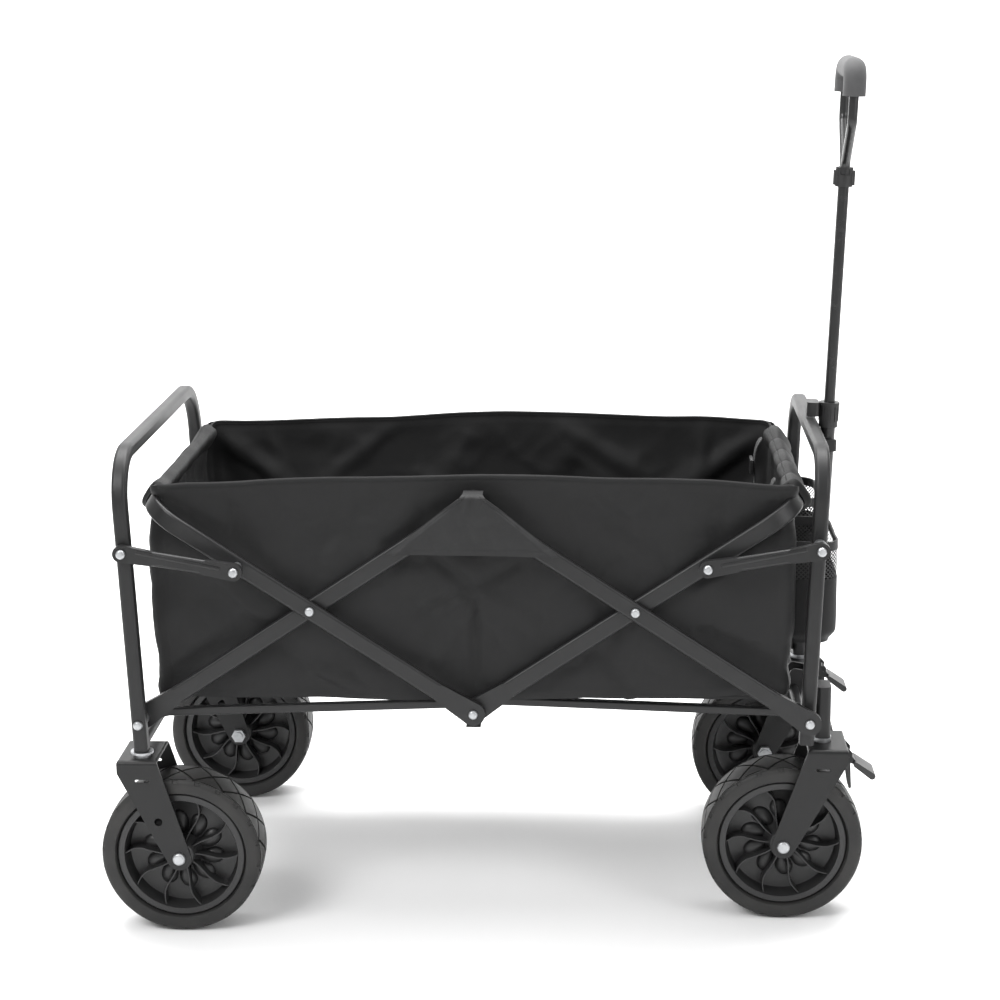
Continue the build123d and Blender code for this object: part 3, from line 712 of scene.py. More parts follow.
@dataclass
class Wheel:
    """A wide moulded wheel: treaded tyre and a rim with curved ribs and domed petals.

    Attributes:
        radius: the tyre's radius.
        half_width: half the tyre's width.
        lip: the rim's outer radius.
        well: the radius inside the rim's lip.
        hub: the hub's radius.
        petals: how many ribs and petals.
        crosses: how many tread crosses go round.
        axis: the axle's direction.
    """

    radius: float = 0.1
    half_width: float = 0.031
    lip: float = 0.080
    well: float = 0.0705
    hub: float = 0.0165
    petals: int = 10
    crosses: int = 16
    axis: Vector = field(default_factory=lambda: Vector((0, 1, 0)))

    def tread(self) -> bpy.types.Object:
        """One strip of tread with a groove along each diagonal, bent round and repeated."""
        length, width = math.tau * self.radius / self.crosses, 0.0472
        bench = Bench("tread").start(bpy.ops.mesh.primitive_grid_add, x_subdivisions=4, y_subdivisions=6,
                                     size=1.0, scale=(length, width, 1))
        slopes = [Vector((width, sign * length, 0)).normalized() for sign in (1, -1)]
        for normal in slopes:
            bench.all()
            bpy.ops.mesh.bisect(plane_co=(0, 0, 0), plane_no=normal)

        def on_diagonal(edge: Any) -> bool:
            return any(all(abs(v.co.dot(n)) < 1e-5 for v in edge.verts) for n in slopes)

        bench.pick(on_diagonal, Kind.EDGE)
        bpy.ops.mesh.bevel(offset=0.0016, segments=1)
        bench.pick(lambda f: any(abs(f.calc_center_median().dot(n)) < 0.0008 for n in slopes))
        bpy.ops.mesh.extrude_region_move(TRANSFORM_OT_translate={"value": (0, 0, -0.0026)})
        strip = bench.done(20.0)
        strips = [strip] + [copied(strip, f"tread_{n}", Matrix.Translation((length * n, 0, 0)))
                            for n in range(1, self.crosses)]
        bench.piece = joined(strips, "tread")

        def bend(point: Vector) -> Vector:
            angle = point.x / self.radius
            crown = self.radius - 0.0012 * (2 * point.y / width) ** 2 + point.z
            return Vector((crown * math.cos(angle), point.y, crown * math.sin(angle)))

        bench.shape(bend)
        bpy.context.view_layer.objects.active = bench.piece
        bpy.ops.object.mode_set(mode="EDIT")
        bench.all()
        bpy.ops.mesh.remove_doubles(threshold=0.00015)
        bpy.ops.mesh.normals_make_consistent(inside=False)
        bench.fit("SOLIDIFY", thickness=0.0028, offset=-1.0)
        return bench.done(28.0, tidy=False)

    def carcass(self) -> bpy.types.Object:
        """The smooth body of the tyre, with notches round its shoulders."""
        half, edge, steps = self.half_width, 0.0246, 88
        side = [(0.0963, 0.0234), (0.0963, edge - 0.0002), (0.0983, edge + 0.0006), (0.0986, edge + 0.0022),
                (0.0976, edge + 0.0042), (0.0950, half - 0.0004),
                (0.0925, half), (0.0885, half - 0.0003), (0.0845, half), (0.0822, half - 0.0004),
                (0.0812, half - 0.0018), (0.0806, half - 0.0042), (0.0801, half - 0.007)]
        profile = [(r, -y) for r, y in reversed(side)] + side
        bench = Bench("carcass").draw([(r, y, 0) for r, y in profile + profile[:1]])
        bench.all().spin(Vector(), self.axis, steps)

        def notched(face: Any) -> bool:
            centre = face.calc_center_median()
            slot = int(round((math.degrees(math.atan2(centre.z, centre.x)) % 360) * steps / 360 - 0.5))
            outside = abs(centre.y) > edge + 0.002 and 0.0950 < math.hypot(centre.x, centre.z) < 0.0982
            return outside and slot % 4 == (0 if centre.y > 0 else 2)

        bench.pick(notched)
        bpy.ops.mesh.inset(thickness=0.0007, depth=-0.0013)
        return bench.done(32.0)

    def swirl(self, point: Vector) -> Vector:
        """Turn a point round the axis by its distance from it, so that ribs and petals curve."""
        distance = math.hypot(point.x, point.z)
        share = min(max((distance - self.hub) / (self.well - self.hub), 0.0), 1.0)
        return Matrix.Rotation(math.radians(7) * math.sin(math.pi * share ** 1.4), 3, "Y") @ point

    def rim_barrel(self) -> bpy.types.Object:
        """Hub, web, well and lips in one turned shape."""
        lip_y, hub_y, web = 0.0267, 0.0310, 0.0045
        side = [(0.0062, hub_y), (0.0115, hub_y), (self.hub - 0.002, hub_y - 0.0006),
                (self.hub, hub_y - 0.003), (self.hub + 0.0012, 0.017), (0.024, web + 0.002), (0.040, web),
                (0.060, web), (0.0668, web + 0.0025), (0.0692, 0.012), (self.well - 0.0003, lip_y - 0.002),
                (self.well + 0.0006, lip_y), (0.0740, lip_y - 0.0003), (self.lip - 0.002, lip_y - 0.0002),
                (self.lip - 0.0004, lip_y - 0.0016), (self.lip - 0.0004, 0.018)]
        profile = side + [(r, -y) for r, y in reversed(side)]
        bench = Bench("rim_barrel").draw([(r, y, 0) for r, y in profile + profile[:1]])
        bench.all().spin(Vector(), self.axis, 96)
        return bench.done(40.0)

    def rib(self) -> bpy.types.Object:
        """One thin curved wall from the hub to the lip."""
        low, high, thick = self.hub - 0.002, self.well + 0.0004, 0.0009
        bench = Bench("rib").block((low, -0.0236, -thick), (high, 0.0236, thick))
        bench.pick(lambda e: abs(e.verts[0].co.x - e.verts[1].co.x) > 0.01, Kind.EDGE)
        bpy.ops.mesh.subdivide(number_cuts=14)
        bench.pick(lambda v: abs(v.co.y) > 0.02 and 0.045 < v.co.x < 0.066, Kind.CORNER)
        bpy.ops.transform.resize(value=(1, 0.93, 1), center_override=(0, 0, 0))

        def on_rim(edge: Any) -> bool:
            return abs(edge.calc_length() - 2 * thick) > 1e-5 and all(abs(v.co.y) > 0.02 for v in edge.verts)

        bench.pick(on_rim, Kind.EDGE)
        bpy.ops.mesh.bevel(offset=0.0004, segments=2)
        bench.shape(self.swirl)
        return bench.done(50.0)

    def petal(self) -> bpy.types.Object:
        """One smooth domed lobe between two ribs."""
        pitch = math.tau / self.petals
        bench = Bench("petal").start(bpy.ops.mesh.primitive_uv_sphere_add, segments=36, ring_count=18,
                                     radius=1.0)
        middle, reach = 0.0345, 0.0170

        def lobe(point: Vector) -> Vector:
            radius = middle + reach * point.x
            angle = pitch / 2 + pitch * 0.49 * point.z * (1 - 0.08 * point.x)
            return Vector((radius * math.cos(angle), 0.0035 + 0.0080 * point.y, radius * math.sin(angle)))

        bench.shape(lobe)
        bench.shape(self.swirl)
        return bench.done(SMOOTH_ALL)

    def build(self, stock: Stock) -> None:
        """Model one wheel and put a copy on each hub."""
        tyre = joined([self.carcass(), self.tread()], "tyre_pattern")
        rib, petal = self.rib(), self.petal()
        turns = [Matrix.Rotation(math.tau * n / self.petals, 4, "Y") for n in range(1, self.petals)]
        back = Matrix.Rotation(math.pi, 4, "X")
        lobes = [petal, copied(petal, "petal_back", back)]
        parts = [self.rim_barrel(), rib, *lobes]
        for n, turn in enumerate(turns):
            parts += [copied(part, f"{part.name}_{n}", turn) for part in (rib, *lobes)]
        rim = joined(parts, "rim_pattern")
        for end in ("rear", "front"):
            for label, side in SIDES.items():
                low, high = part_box(f"tyre_{end}_{label}")
                place = Matrix.Translation((low + high) / 2)
                if side > 0:
                    place = place @ Matrix.Rotation(math.pi, 4, "Z")
                for pattern, slot in ((tyre, "tyre"), (rim, "rim")):
                    node = f"{slot}_{end}_{label}"
                    piece = copied(pattern, f"{node}_moulded", place)
                    stock.dress(piece, slot)
                    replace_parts(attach(piece, f"wheel_{end}_{label}"), node)
        for pattern in (tyre, rim):
            bpy.data.objects.remove(pattern)
        log.info("built four wheels")


# ---------------------------------------------------------------- fabric


@dataclass
class FabricBody:
    """The wagon's fabric tub: one shell round the sides and ends, with a hem, and a padded floor.

    Attributes:
        half_length: half its length.
        half_width: half its width, at the cloth's middle.
        corner: the radius of its upright corners.
        around: columns round the tub.
        rows: rows up its wall.
        hem: how far the stitched hem reaches down from the top edge.
        tape: how far the binding tape reaches down on each side of the top edge.
        far_line: x and z of the far side's top edge, from the rear to the front.
        rim_line: the same for the near side.
        foot_line: x and z of both sides' lower edge.
        folds: each fold's start, end, width and strength on the near side; the far side has them mirrored.
    """

    half_length: float = 0.3885
    half_width: float = 0.2113
    corner: float = 0.020
    around: int = 560
    rows: int = 66
    hem: float = 0.0115
    tape: float = 0.0042
    far_line: tuple = ((-0.389, 0.555), (-0.34, 0.554), (-0.169, 0.559), (0.02, 0.5675), (0.273, 0.560),
                       (0.389, 0.555))
    rim_line: tuple = ((-0.389, 0.559), (-0.34, 0.5625), (-0.169, 0.569), (0.02, 0.5725), (0.273, 0.567),
                       (0.389, 0.559))
    foot_line: tuple = ((-0.389, 0.2915), (-0.214, 0.290), (0.0, 0.289), (0.216, 0.2925), (0.389, 0.2975))
    folds: tuple = (
        ((0.003, 0.425), (0.001, 0.300), 0.005, -0.0026), ((0.0, 0.428), (-0.055, 0.478), 0.008, -0.0022),
        ((0.0, 0.425), (0.062, 0.470), 0.009, -0.0022), ((0.0, 0.425), (-0.075, 0.398), 0.008, -0.0018),
        ((0.0, 0.425), (0.080, 0.390), 0.010, 0.0018), ((-0.01, 0.42), (-0.06, 0.33), 0.013, 0.0024),
        ((0.01, 0.42), (0.07, 0.32), 0.014, 0.0020), ((-0.385, 0.545), (-0.24, 0.44), 0.014, -0.0040),
        ((0.385, 0.545), (0.25, 0.43), 0.015, -0.0040), ((-0.37, 0.50), (-0.20, 0.36), 0.018, 0.0030),
        ((0.37, 0.50), (0.22, 0.35), 0.016, 0.0028), ((-0.385, 0.31), (-0.27, 0.385), 0.011, -0.0030),
        ((0.385, 0.31), (0.25, 0.40), 0.013, -0.0030), ((-0.085, 0.560), (-0.22, 0.47), 0.013, -0.0026),
        ((0.12, 0.560), (0.24, 0.46), 0.012, -0.0026), ((-0.20, 0.33), (-0.13, 0.30), 0.008, 0.0022),
        ((0.14, 0.36), (0.20, 0.30), 0.010, -0.0022), ((-0.30, 0.56), (-0.29, 0.46), 0.009, -0.0018),
        ((0.31, 0.56), (0.29, 0.45), 0.010, -0.0018), ((-0.12, 0.50), (-0.10, 0.40), 0.014, 0.0020))

    def round_path(self, share: float) -> tuple[Vector, Vector]:
        """A point on the tub's plan outline and its outward direction, by its share of the way round."""
        length, width, radius = self.half_length - self.corner, self.half_width - self.corner, self.corner
        arc = radius * math.pi / 2
        runs = (width, arc, 2 * length, arc, 2 * width, arc, 2 * length, arc, width)
        at = share * sum(runs)
        straight = {0: (Vector((-self.half_length, 0, 0)), Vector((0, -1, 0))),
                    2: (Vector((-length, -self.half_width, 0)), Vector((1, 0, 0))),
                    4: (Vector((self.half_length, -width, 0)), Vector((0, 1, 0))),
                    6: (Vector((length, self.half_width, 0)), Vector((-1, 0, 0))),
                    8: (Vector((-self.half_length, width, 0)), Vector((0, -1, 0)))}
        corners = {1: (-length, -width, math.pi), 3: (length, -width, 1.5 * math.pi),
                   5: (length, width, 0.0), 7: (-length, width, 0.5 * math.pi)}
        for place, run in enumerate(runs):
            if at <= run or place == len(runs) - 1:
                break
            at -= run
        if place in straight:
            start, heading = straight[place]
            return start + heading * at, Vector((heading.y, -heading.x, 0))
        x, y, turn = corners[place]
        angle = turn + at / radius
        outward = Vector((math.cos(angle), math.sin(angle), 0))
        return Vector((x, y, 0)) + outward * radius, outward

    def relief(self, point: Vector, outward: Vector, side_share: float) -> float:
        """How far the cloth stands out of its plain surface at a point."""
        drop = self.top(point) - point.z
        calm = smooth(0.0, 0.05, drop) * 0.75 + 0.25
        value = crumple(point + Vector((3.1, 0.7, 0)), ((0.17, 0.0068), (0.085, 0.0042), (0.038, 0.0017)))
        value += 0.0028 * noise.noise(point * 7.0 + Vector((0, 4.0, 0)))
        if side_share > 0.5:
            mirror = 1.0 if outward.y < 0 else -1.0
            for start, end, width, depth in self.folds:
                value += 3.0 * depth * fold_line(point.x * mirror, point.z, start, end, width)
        value += 0.0009 * noise.noise(Vector((point.x * 60, point.y * 60, 2.0))) * smooth(0.05, 0.0, drop)
        foot = smooth(0.045, 0.0, point.z - 0.297)
        value += 0.0022 * noise.noise(Vector((point.x * 34, point.y * 34, 9.0))) * foot
        hemmed = 0.0007 if 0.001 < drop < self.hem else 0.0
        value = value * calm - 0.0016
        reach = 0.0028 if value > 0 else 0.0120
        return reach * math.tanh(value / reach) + hemmed

    def top(self, point: Vector) -> float:
        """The height of the tub's top edge over a plan point."""
        line = self.rim_line if point.y < 0 else self.far_line
        sides = along_points(line, point.x) + 0.0011 * noise.noise(Vector((point.x * 11, point.y * 5, 1.0)))
        to_end = smooth(self.half_width - 0.055, self.half_width - 0.002, abs(point.y))
        return 0.541 + (sides - 0.541) * to_end

    def shell(self) -> bpy.types.Object:
        """The tub's wall as one closed band of cloth."""
        girth = 4 * (self.half_length + self.half_width)
        bench = Bench("fabric_tub").cloth(self.around, self.rows, (girth, 0.275))

        def wrap(flat: Vector) -> Vector:
            plan, outward = self.round_path(clip(flat.x))
            foot = along_points(self.foot_line, plan.x) + 0.0028 * noise.noise(plan * 17)
            share = clip(flat.y)
            point = Vector((plan.x, plan.y, foot + (self.top(plan) - foot) * share))
            tuck = smooth(0.035, 0.0, share)
            moved = point + outward * (self.relief(point, outward, abs(outward.y)) * (1 - tuck))
            moved -= outward * 0.004 * tuck
            over = smooth(0.022, 0.0, self.top(plan) - point.z)
            at_end = smooth(0.5, 0.9, abs(outward.x))
            moved += outward * (0.006 * over * at_end)
            if outward.x < 0:
                moved += outward * (0.009 * at_end * (1 - over) * smooth(0.0, 0.05, self.top(plan) - point.z))
            moved.x += CENTRE_X
            return moved

        bench.shape(wrap)
        bench.thicken(0.0012)
        return bench.done(SMOOTH_ALL)

    def binding(self, shell_top: Callable[[Vector], float]) -> bpy.types.Object:
        """A folded tape sewn over the tub's top edge."""
        girth = 4 * (self.half_length + self.half_width)
        bench = Bench("fabric_binding").cloth(self.around, 8, (girth, 0.024))

        def wrap(flat: Vector) -> Vector:
            plan, outward = self.round_path(clip(flat.x))
            top = shell_top(plan)
            turn = (clip(flat.y) - 0.5) * 2
            lower = self.tape * smooth(0.2, 1.0, abs(turn)) * (0.96 + 0.08 * noise.noise(plan * 40))
            base = Vector((plan.x, plan.y, top - lower))
            out = self.relief(base, outward, abs(outward.y))
            stand = (0.0013 + 0.0003 * noise.noise(plan * 90)) * math.copysign(1, turn)
            stand *= smooth(0.0, 0.25, abs(turn))
            point = base + outward * (out + stand)
            point.z += 0.0009 * (1 - smooth(0.0, 0.3, abs(turn)))
            point.x += CENTRE_X
            return point

        bench.shape(wrap)
        bench.thicken(0.0007)
        return bench.done(SMOOTH_ALL)

    def floor(self) -> bpy.types.Object:
        """The padded floor: four stitched boards in cloth."""
        low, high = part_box("fabric_floor")
        length, breadth = high.x - low.x, high.y - low.y
        bench = Bench("fabric_floor_pad").start(
            bpy.ops.mesh.primitive_grid_add, x_subdivisions=156, y_subdivisions=84, size=1.0,
            location=((low.x + high.x) / 2, 0, high.z), scale=(length + 0.012, breadth - 0.006, 1))

        def quilt(point: Vector) -> Vector:
            share = (point.x - low.x) / length * 4
            seam = abs(share - round(share)) * length / 4
            at_edge = min(abs(point.y - low.y), abs(high.y - point.y), point.x - low.x, high.x - point.x)
            crown = 0.0012 * smooth(0.0, 0.03, seam) * smooth(0.0, 0.02, at_edge)
            fall = 0.0022 * math.exp(-((seam / 0.0035) ** 2)) + 0.002 * smooth(0.006, 0.0, at_edge)
            point.z += crown - fall - 0.0008 + crumple(point, ((0.12, 0.0009), (0.05, 0.0005)))
            return point

        bench.shape(quilt)
        bench.fit("SOLIDIFY", thickness=0.0055, offset=-1.0)
        bench.rounded(0.0012, 2, 50)
        return bench.done(50.0)

    def build(self, stock: Stock) -> None:
        """Make the tub, its binding and its floor, and attach them to the rear body."""
        shell = self.shell()
        binding = self.binding(self.top)
        floor = self.floor()
        stock.dress(shell, "cloth")
        stock.dress(binding, "cloth")
        stock.dress(floor, "cloth", "lining")
        for piece in (shell, binding, floor):
            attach(piece, "rear")
            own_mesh(piece)
        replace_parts(shell, "fabric_side_left", "fabric_side_right", "fabric_rear", "fabric_front")
        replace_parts(floor, "fabric_floor")
        log.info("built the fabric body")


@dataclass
class Sleeve:
    """A tube of gathered cloth round a U-bar's crosspiece.

    Attributes:
        end: rear or front.
        body: the CAD body that it rides on.
        bands: stitched bands across it.
    """

    end: str
    body: str
    bands: int = 0

    def build(self, stock: Stock) -> None:
        """Make the sleeve over its plain solid."""
        node = f"sleeve_{self.end}"
        low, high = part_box(node)
        middle = (low + high) / 2
        slope = math.radians(33.4) * (1 if self.end == "rear" else -1)
        # the section lies across the bar: its long side is square to the bar's run
        wide = Vector((math.sin(slope), 0, math.cos(slope)))
        deep = Vector((-math.cos(slope), 0, math.sin(slope)))
        half = high.y
        girth, length = 0.087 + 0.0022 * self.bands, 2 * half
        bench = Bench(f"{node}_cloth").cloth(52, 170, (girth, length))

        def wrap(flat: Vector) -> Vector:
            turn, share = math.tau * flat.x, clip(flat.y)
            y = -half + length * share
            c, s = math.cos(turn), math.sin(turn)
            power = (abs(c) ** 4 + abs(s) ** 2.6) ** (-1 / 3.1)
            near_end = smooth(0.075, 0.0, half - abs(y))
            shut = smooth(0.012, 0.0, half - abs(y))
            across = (0.0155 + 0.004 * near_end) * (1 - 0.36 * shut)
            through = (0.0100 + 0.003 * near_end) * (1 - 0.58 * shut)
            place = middle + wide * (c * across * power) + deep * (s * through * power)
            place.y = y
            bunch = abs(math.sin(math.pi * share * self.bands))
            puff = 0.0026 * bunch ** 0.6 - 0.0009 + 0.0012 * noise.noise(place * 24 + Vector((0, 0, 7)))
            puff += crumple(place, ((0.08, 0.0008),))
            puff *= 1 - shut
            return place + (wide * c + deep * s) * min(puff, 0.0022)

        bench.shape(wrap)
        bench.thicken(0.0009)
        piece = bench.done(SMOOTH_ALL)
        # the sleeve takes the darker copy of the tub's cloth, painted shade against the top light
        stock.dress(piece, "cloth", "sleeve_cloth")
        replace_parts(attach(piece, self.body), node)
        log.info("built %s sleeve", self.end)


@dataclass
class JointCover:
    """The triangular cloth cover that hangs over a top middle joint."""

    half_top: float = 0.012
    half_low: float = 0.1035
    high: float = 0.5545
    low: float = 0.4812
    hem: float = 0.006

    def build(self, stock: Stock) -> None:
        """Make the near cover and mirror it."""
        out_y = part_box("joint_covers")[1].y - 0.0013
        in_y = 0.2142
        bench = Bench("joint_cover_right").cloth(96, 64, (0.17, 0.09), x=0.0)

        def hang(flat: Vector) -> Vector:
            down = 1 - clip(flat.y)
            fallen = max(down - 0.10, 0.0) / 0.90
            spread = self.half_top + (self.half_low - self.half_top) * fallen
            x = 2 * flat.x * spread
            z = self.high - (self.high - self.low) * fallen - 0.0012 * (x / 0.1) ** 2 - 0.0016 * (x / 0.1)
            reach = smooth(0.0, 0.15, down)
            y = in_y + (out_y - in_y) * reach
            edge = (0.5 - abs(flat.x)) * 2 * spread
            y -= 0.006 * smooth(0.010, 0.0, edge) * smooth(0.1, 0.4, down)
            y += 0.0010 * smooth(self.hem, self.hem - 0.0012, edge)
            y += 0.0010 * smooth(self.hem, self.hem - 0.0012, z - self.low)
            fold = crumple(Vector((x, 0, z)), ((0.05, 0.0016), (0.02, 0.0006)))
            pucker = 0.0016 * math.sin(x * 420 + 3 * noise.noise(Vector((x, z, 0)) * 30))
            pucker *= smooth(0.035, 0.0, abs(x + 0.012)) * smooth(0.6, 0.1, down)
            y += (fold + pucker) * smooth(0.0, 0.012, edge) - 0.0008
            return Vector((CENTRE_X + 0.0025 + x, -min(y, out_y + 0.001), z))

        bench.shape(hang)
        bench.thicken(0.0011)
        near = bench.done(SMOOTH_ALL)
        far = copied(near, "joint_cover_left", MIRROR_Y)
        for piece in (near, far):
            stock.dress(piece, "cloth", "cover_cloth")
            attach(piece, "rear")
            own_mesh(piece)
        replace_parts(near, "joint_covers")
        log.info("built the joint covers")


@dataclass
class BottlePocket:
    """A bottle pocket outside the front end: cloth below, netting above and a trimmed mouth."""

    seam: float = 0.436

    def outline(self, share: float, low: Vector, high: Vector, swell: float) -> Vector:
        """A point on the pocket's U-shaped plan, from one sewn edge round to the other."""
        half, depth, radius = (high.y - low.y) / 2, high.x - low.x, 0.022
        straight = depth - radius
        arc = radius * math.pi / 2
        front = 2 * (half - radius)
        at = share * (2 * straight + 2 * arc + front)
        y0, x0 = (high.y + low.y) / 2, low.x
        if at < straight:
            point = (x0 + at, y0 - half)
        elif at < straight + arc:
            angle = (at - straight) / radius
            point = (x0 + straight + radius * math.sin(angle), y0 - half + radius * (1 - math.cos(angle)))
        elif at < straight + arc + front:
            point = (x0 + depth, y0 - half + radius + at - straight - arc)
        elif at < straight + 2 * arc + front:
            angle = (at - straight - arc - front) / radius
            point = (x0 + straight + radius * math.cos(angle), y0 + half - radius * (1 - math.sin(angle)))
        else:
            point = (x0 + straight - (at - straight - 2 * arc - front), y0 + half)
        plan = Vector((*point, 0))
        return plan + (plan - Vector((x0 + depth * 0.3, y0, 0))).normalized() * swell

    def wall(self, name: str, low: Vector, high: Vector, z0: float, z1: float, rows: int) -> Bench:
        """A band of the pocket's wall between two heights."""
        bench = Bench(name).cloth(90, rows, (0.21, z1 - z0))

        def wrap(flat: Vector) -> Vector:
            z = z0 + (z1 - z0) * clip(flat.y)
            height = (z - low.z) / (high.z - low.z)
            tuck = smooth(0.13, 0.0, height)
            swell = 0.0014 * math.sin(math.pi * clip(height)) - 0.012 * tuck
            plan = self.outline(clip(flat.x), low, high, swell)
            ripple = 0.0016 * noise.noise(Vector((plan.x * 40, plan.y * 40, z * 14)))
            slack = -0.004 * (1 - abs(2 * flat.x - 1)) * smooth(0.75, 1.0, height)
            return Vector((min(plan.x + ripple, high.x + 0.001), plan.y, z + slack))

        return bench.shape(wrap)

    def build(self, stock: Stock) -> None:
        """Make both pockets, each with its netting and its trimmed mouth."""
        low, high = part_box("bottle_pockets")
        for label, side in SIDES.items():
            near = Vector((low.x, 0.050 if side > 0 else low.y, low.z))
            far = Vector((high.x, high.y if side > 0 else -0.050, high.z))
            cup = self.wall(f"pocket_cup_{label}", near, far, low.z, self.seam, 26)
            cup.thicken(0.0012)
            cup_piece = cup.done(SMOOTH_ALL)
            net = self.wall(f"pocket_net_{label}", near, far, self.seam - 0.004, high.z - 0.008, 16)
            net_piece = net.done(SMOOTH_ALL)
            trim = self.wall(f"pocket_trim_{label}", near, far, high.z - 0.012, high.z, 4)
            trim.thicken(0.0024)
            trim_piece = trim.done(SMOOTH_ALL)
            stock.dress(cup_piece, "cloth")
            stock.dress(net_piece, "mesh_cloth")
            stock.dress(trim_piece, "cloth", "webbing")
            for piece in (cup_piece, net_piece, trim_piece):
                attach(piece, "front")
            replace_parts(cup_piece, "bottle_pockets")
        log.info("built the bottle pockets")


@dataclass
class Straps:
    """Webbing straps and their buckle, and the ribs pressed along the short links."""

    width: float = 0.024

    def ribbon(self, name: str, path: Sequence[Sequence[float]], width: Vector,
               thick: float) -> bpy.types.Object:
        """A flat strap along a run of points.

        Args:
            name: the piece's name.
            path: points along its middle.
            width: across it, its whole width.
            thick: its thickness.

        Returns:
            The strap.
        """
        bench = Bench(name).draw([Vector(point) - width / 2 for point in path])
        bench.all()
        bpy.ops.mesh.extrude_region_move(TRANSFORM_OT_translate={"value": width})
        bench.fit("SUBSURF", levels=2, render_levels=2)
        bench.thicken(thick)
        bench.rounded(thick * 0.3, 2, 50)
        return bench.done(50.0)

    def buckle(self, name: str, centre: Vector) -> bpy.types.Object:
        """A ladder-lock buckle: a frame with two bars."""
        size = Vector((0.005, 0.030, 0.020))
        bench = Bench(name).block(centre - size / 2, centre + size / 2)
        bench.pick(lambda f: abs(f.normal.x) > 0.9)
        bpy.ops.mesh.inset(thickness=0.0035, depth=-0.0018)
        bench.rounded(0.0009, 3, 40)
        return bench.done(50.0)

    def link_ribs(self, stock: Stock) -> None:
        """A raised rib along the upper half of each short link."""
        for end, body in (("rear", "links_rear"), ("front", "links_front")):
            low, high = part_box(f"links_{end}")
            forward = 1 if end == "rear" else -1
            start = Vector((low.x + 0.0125, 0, 0)) if end == "rear" else Vector((high.x - 0.0125, 0, 0))
            upper = Vector((start.x, 0, high.z - 0.0085))
            lower = Vector((high.x - 0.0125 if end == "rear" else low.x + 0.0125, 0, low.z + 0.0085))
            run = lower - upper
            length = run.length - 0.030
            tilt = math.atan2(run.z, run.x * forward)
            corner = Vector((length / 2, 0.0008, 0.0021))
            bench = Bench(f"link_rib_{end}_right").block(-corner, corner)
            bench.pick(lambda e: abs(e.verts[0].co.y - e.verts[1].co.y) > 0.001, Kind.EDGE)
            bpy.ops.mesh.bevel(offset=0.0019, segments=4)
            bench.pick(lambda f: f.normal.y < -0.9)
            bpy.ops.mesh.inset(thickness=0.0006, depth=0.0004)
            middle = (upper + lower) / 2
            across = Vector((-math.sin(tilt), 0, math.cos(tilt))) * 0.0036
            place = Matrix.Translation((middle.x + across.x * forward, low.y - 0.0001, middle.z + across.z))
            rib = bench.done(40.0)
            rib.data.transform(place @ Matrix.Rotation(-tilt * forward, 4, "Y"))
            twin = copied(rib, f"link_rib_{end}_left", MIRROR_Y)
            for piece in (rib, twin):
                stock.dress(piece, "bar_paint")
                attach(piece, body)

    def build(self, stock: Stock) -> None:
        """Make every strap, the buckle and the link ribs."""
        front = CENTRE_X + 0.372
        wide = Vector((0, self.width, 0))
        straps = {
            "strap_inside_front": (
                -0.10, ((0.0, 0.545), (0.006, 0.535), (0.010, 0.50), (0.006, 0.44), (0.004, 0.38))),
            "strap_inside_far": (
                0.12, ((0.002, 0.55), (0.010, 0.54), (0.013, 0.515), (0.010, 0.49), (0.014, 0.462))),
        }
        for name, (y, path) in straps.items():
            piece = self.ribbon(name, [(front - out, y, z) for out, z in path], wide, 0.0016)
            stock.dress(piece, "cloth", "webbing")
            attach(piece, "front")
        buckle = self.buckle("strap_buckle", Vector((front - 0.016, 0.12, 0.512)))
        stock.dress(buckle, "black_plastic")
        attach(buckle, "front")
        self.link_ribs(stock)
        log.info("built the straps")


# ---------------------------------------------------------------- studio


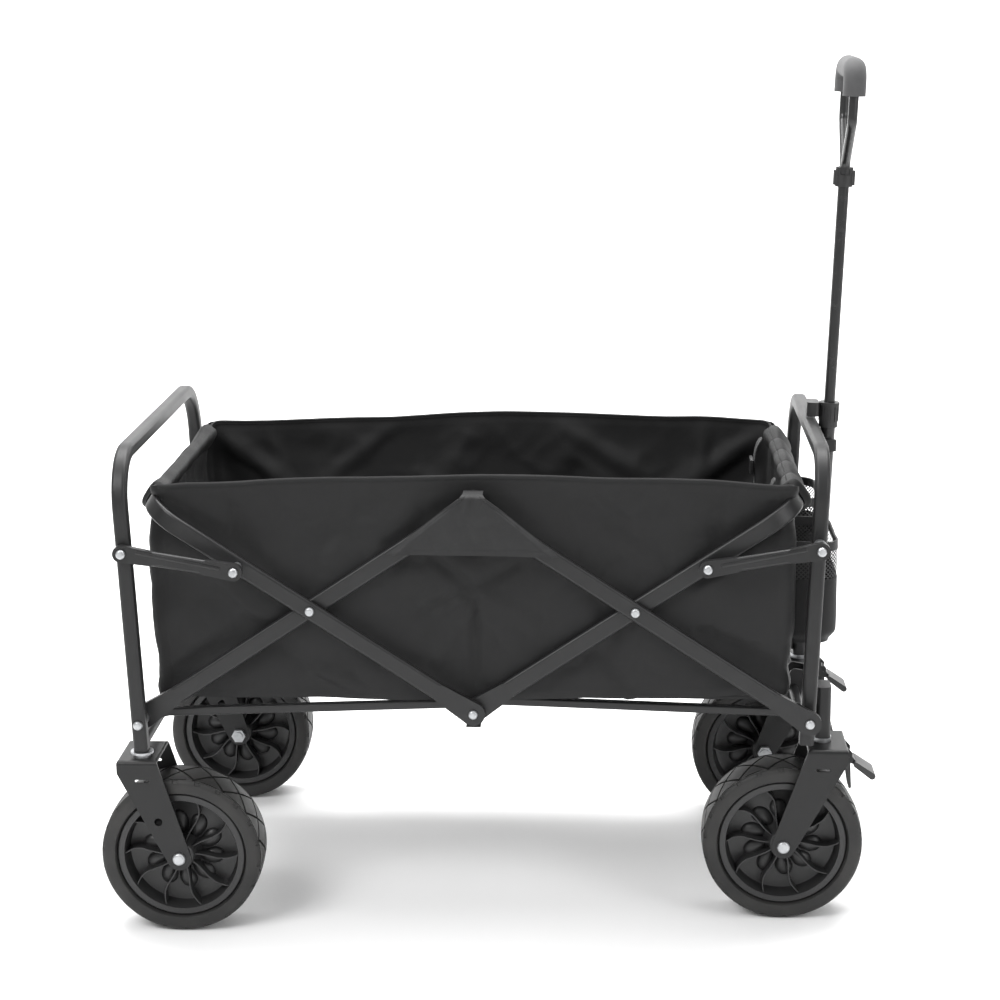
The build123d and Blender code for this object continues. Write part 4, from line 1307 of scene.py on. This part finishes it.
@dataclass
class Studio:
    """A pale sweep, soft lights and the camera."""

    focal: float = 79.93
    eye: tuple = (0.14855, -2.80557, 1.16353)
    yaw: float = -0.0503
    pitch: float = 0.2347
    roll: float = -0.01

    def camera(self) -> None:
        """Place the camera at the viewing angle."""
        ahead = Vector((math.sin(self.yaw) * math.cos(self.pitch), math.cos(self.yaw) * math.cos(self.pitch),
                        -math.sin(self.pitch)))
        right = Vector((math.cos(self.yaw), -math.sin(self.yaw), 0))
        up = right.cross(ahead)
        level = right * math.cos(self.roll) + up * math.sin(self.roll)
        upright = up * math.cos(self.roll) - right * math.sin(self.roll)
        lens = bpy.data.cameras.new("camera")
        lens.lens = self.focal
        lens.sensor_width = 36.0
        lens.clip_end = 60.0
        camera = bpy.data.objects.new("camera", lens)
        camera.matrix_world = Matrix((level, upright, -ahead)).transposed().to_4x4()
        camera.location = self.eye
        bpy.context.scene.collection.objects.link(camera)
        bpy.context.scene.camera = camera

    def light(self, name: str, place: Sequence[float], size: tuple[float, float], power: float,
              aim: Sequence[float] = (0, 0, 0.4)) -> None:
        """A soft panel that faces the wagon, or another aim."""
        lamp = bpy.data.lights.new(name, "AREA")
        lamp.shape = "RECTANGLE"
        lamp.size, lamp.size_y = size
        lamp.energy = power
        holder = bpy.data.objects.new(name, lamp)
        holder.location = place
        holder.rotation_euler = (Vector(aim) - Vector(place)).to_track_quat("-Z", "Y").to_euler()
        bpy.context.scene.collection.objects.link(holder)

    def build(self) -> None:
        """Lay the sweep, hang the lights and place the camera."""
        bench = Bench("studio_sweep").start(bpy.ops.mesh.primitive_plane_add, size=1.0, scale=(14, 8, 1),
                                            location=(0, -0.6, 0))
        bench.pick(lambda e: all(v.co.y > 3 for v in e.verts), Kind.EDGE)
        bpy.ops.mesh.extrude_region_move(TRANSFORM_OT_translate={"value": (0, 0, 5)})
        bench.pick(lambda e: all(abs(v.co.y - 3.4) < 0.01 and v.co.z < 0.01 for v in e.verts), Kind.EDGE)
        bpy.ops.mesh.bevel(offset=1.6, segments=16)
        sweep = bench.done(SMOOTH_ALL, tidy=False)
        recipe = Recipe("studio_paper", Roughness=0.6, Specular_IOR_Level=0.25)
        tone = recipe.cloud(1.5, 2.0)
        paper = recipe.tint(tone, (0.90, 0.90, 0.90), (0.93, 0.93, 0.93))
        sweep.data.materials.append(recipe.done(Base_Color=paper))
        world = bpy.data.worlds.new("studio_air")
        world.use_nodes = True
        world.node_tree.nodes["Background"].inputs[0].default_value = (1, 1, 1, 1)
        world.node_tree.nodes["Background"].inputs[1].default_value = 0.56
        bpy.context.scene.world = world
        bpy.context.scene.view_settings.view_transform = "Standard"
        self.light("key", (-1.7, -2.0, 2.6), (1.5, 1.2), 60)
        self.light("fill", (2.4, -1.8, 1.6), (1.2, 1.4), 22)
        self.light("top", (0.1, 0.4, 2.8), (3.2, 2.0), 70)
        self.light("backdrop", (0.0, 0.9, 3.4), (4.0, 1.2), 190, (0, 3.2, 0.2))
        self.camera()
        log.info("built the studio")


def build_wagon() -> None:
    """Build every sub-assembly in order."""
    logging.basicConfig(level=logging.INFO, format="%(name)s: %(message)s")
    stock = Stock()
    stock.paint_nodes()
    Wheel().build(stock)
    Sleeve("rear", "bar_a").build(stock)
    Sleeve("front", "bar_d", 5).build(stock)
    FabricBody().build(stock)
    JointCover().build(stock)
    BottlePocket().build(stock)
    Straps().build(stock)
    Studio().build()


if __name__ == "__main__":
    build_wagon()
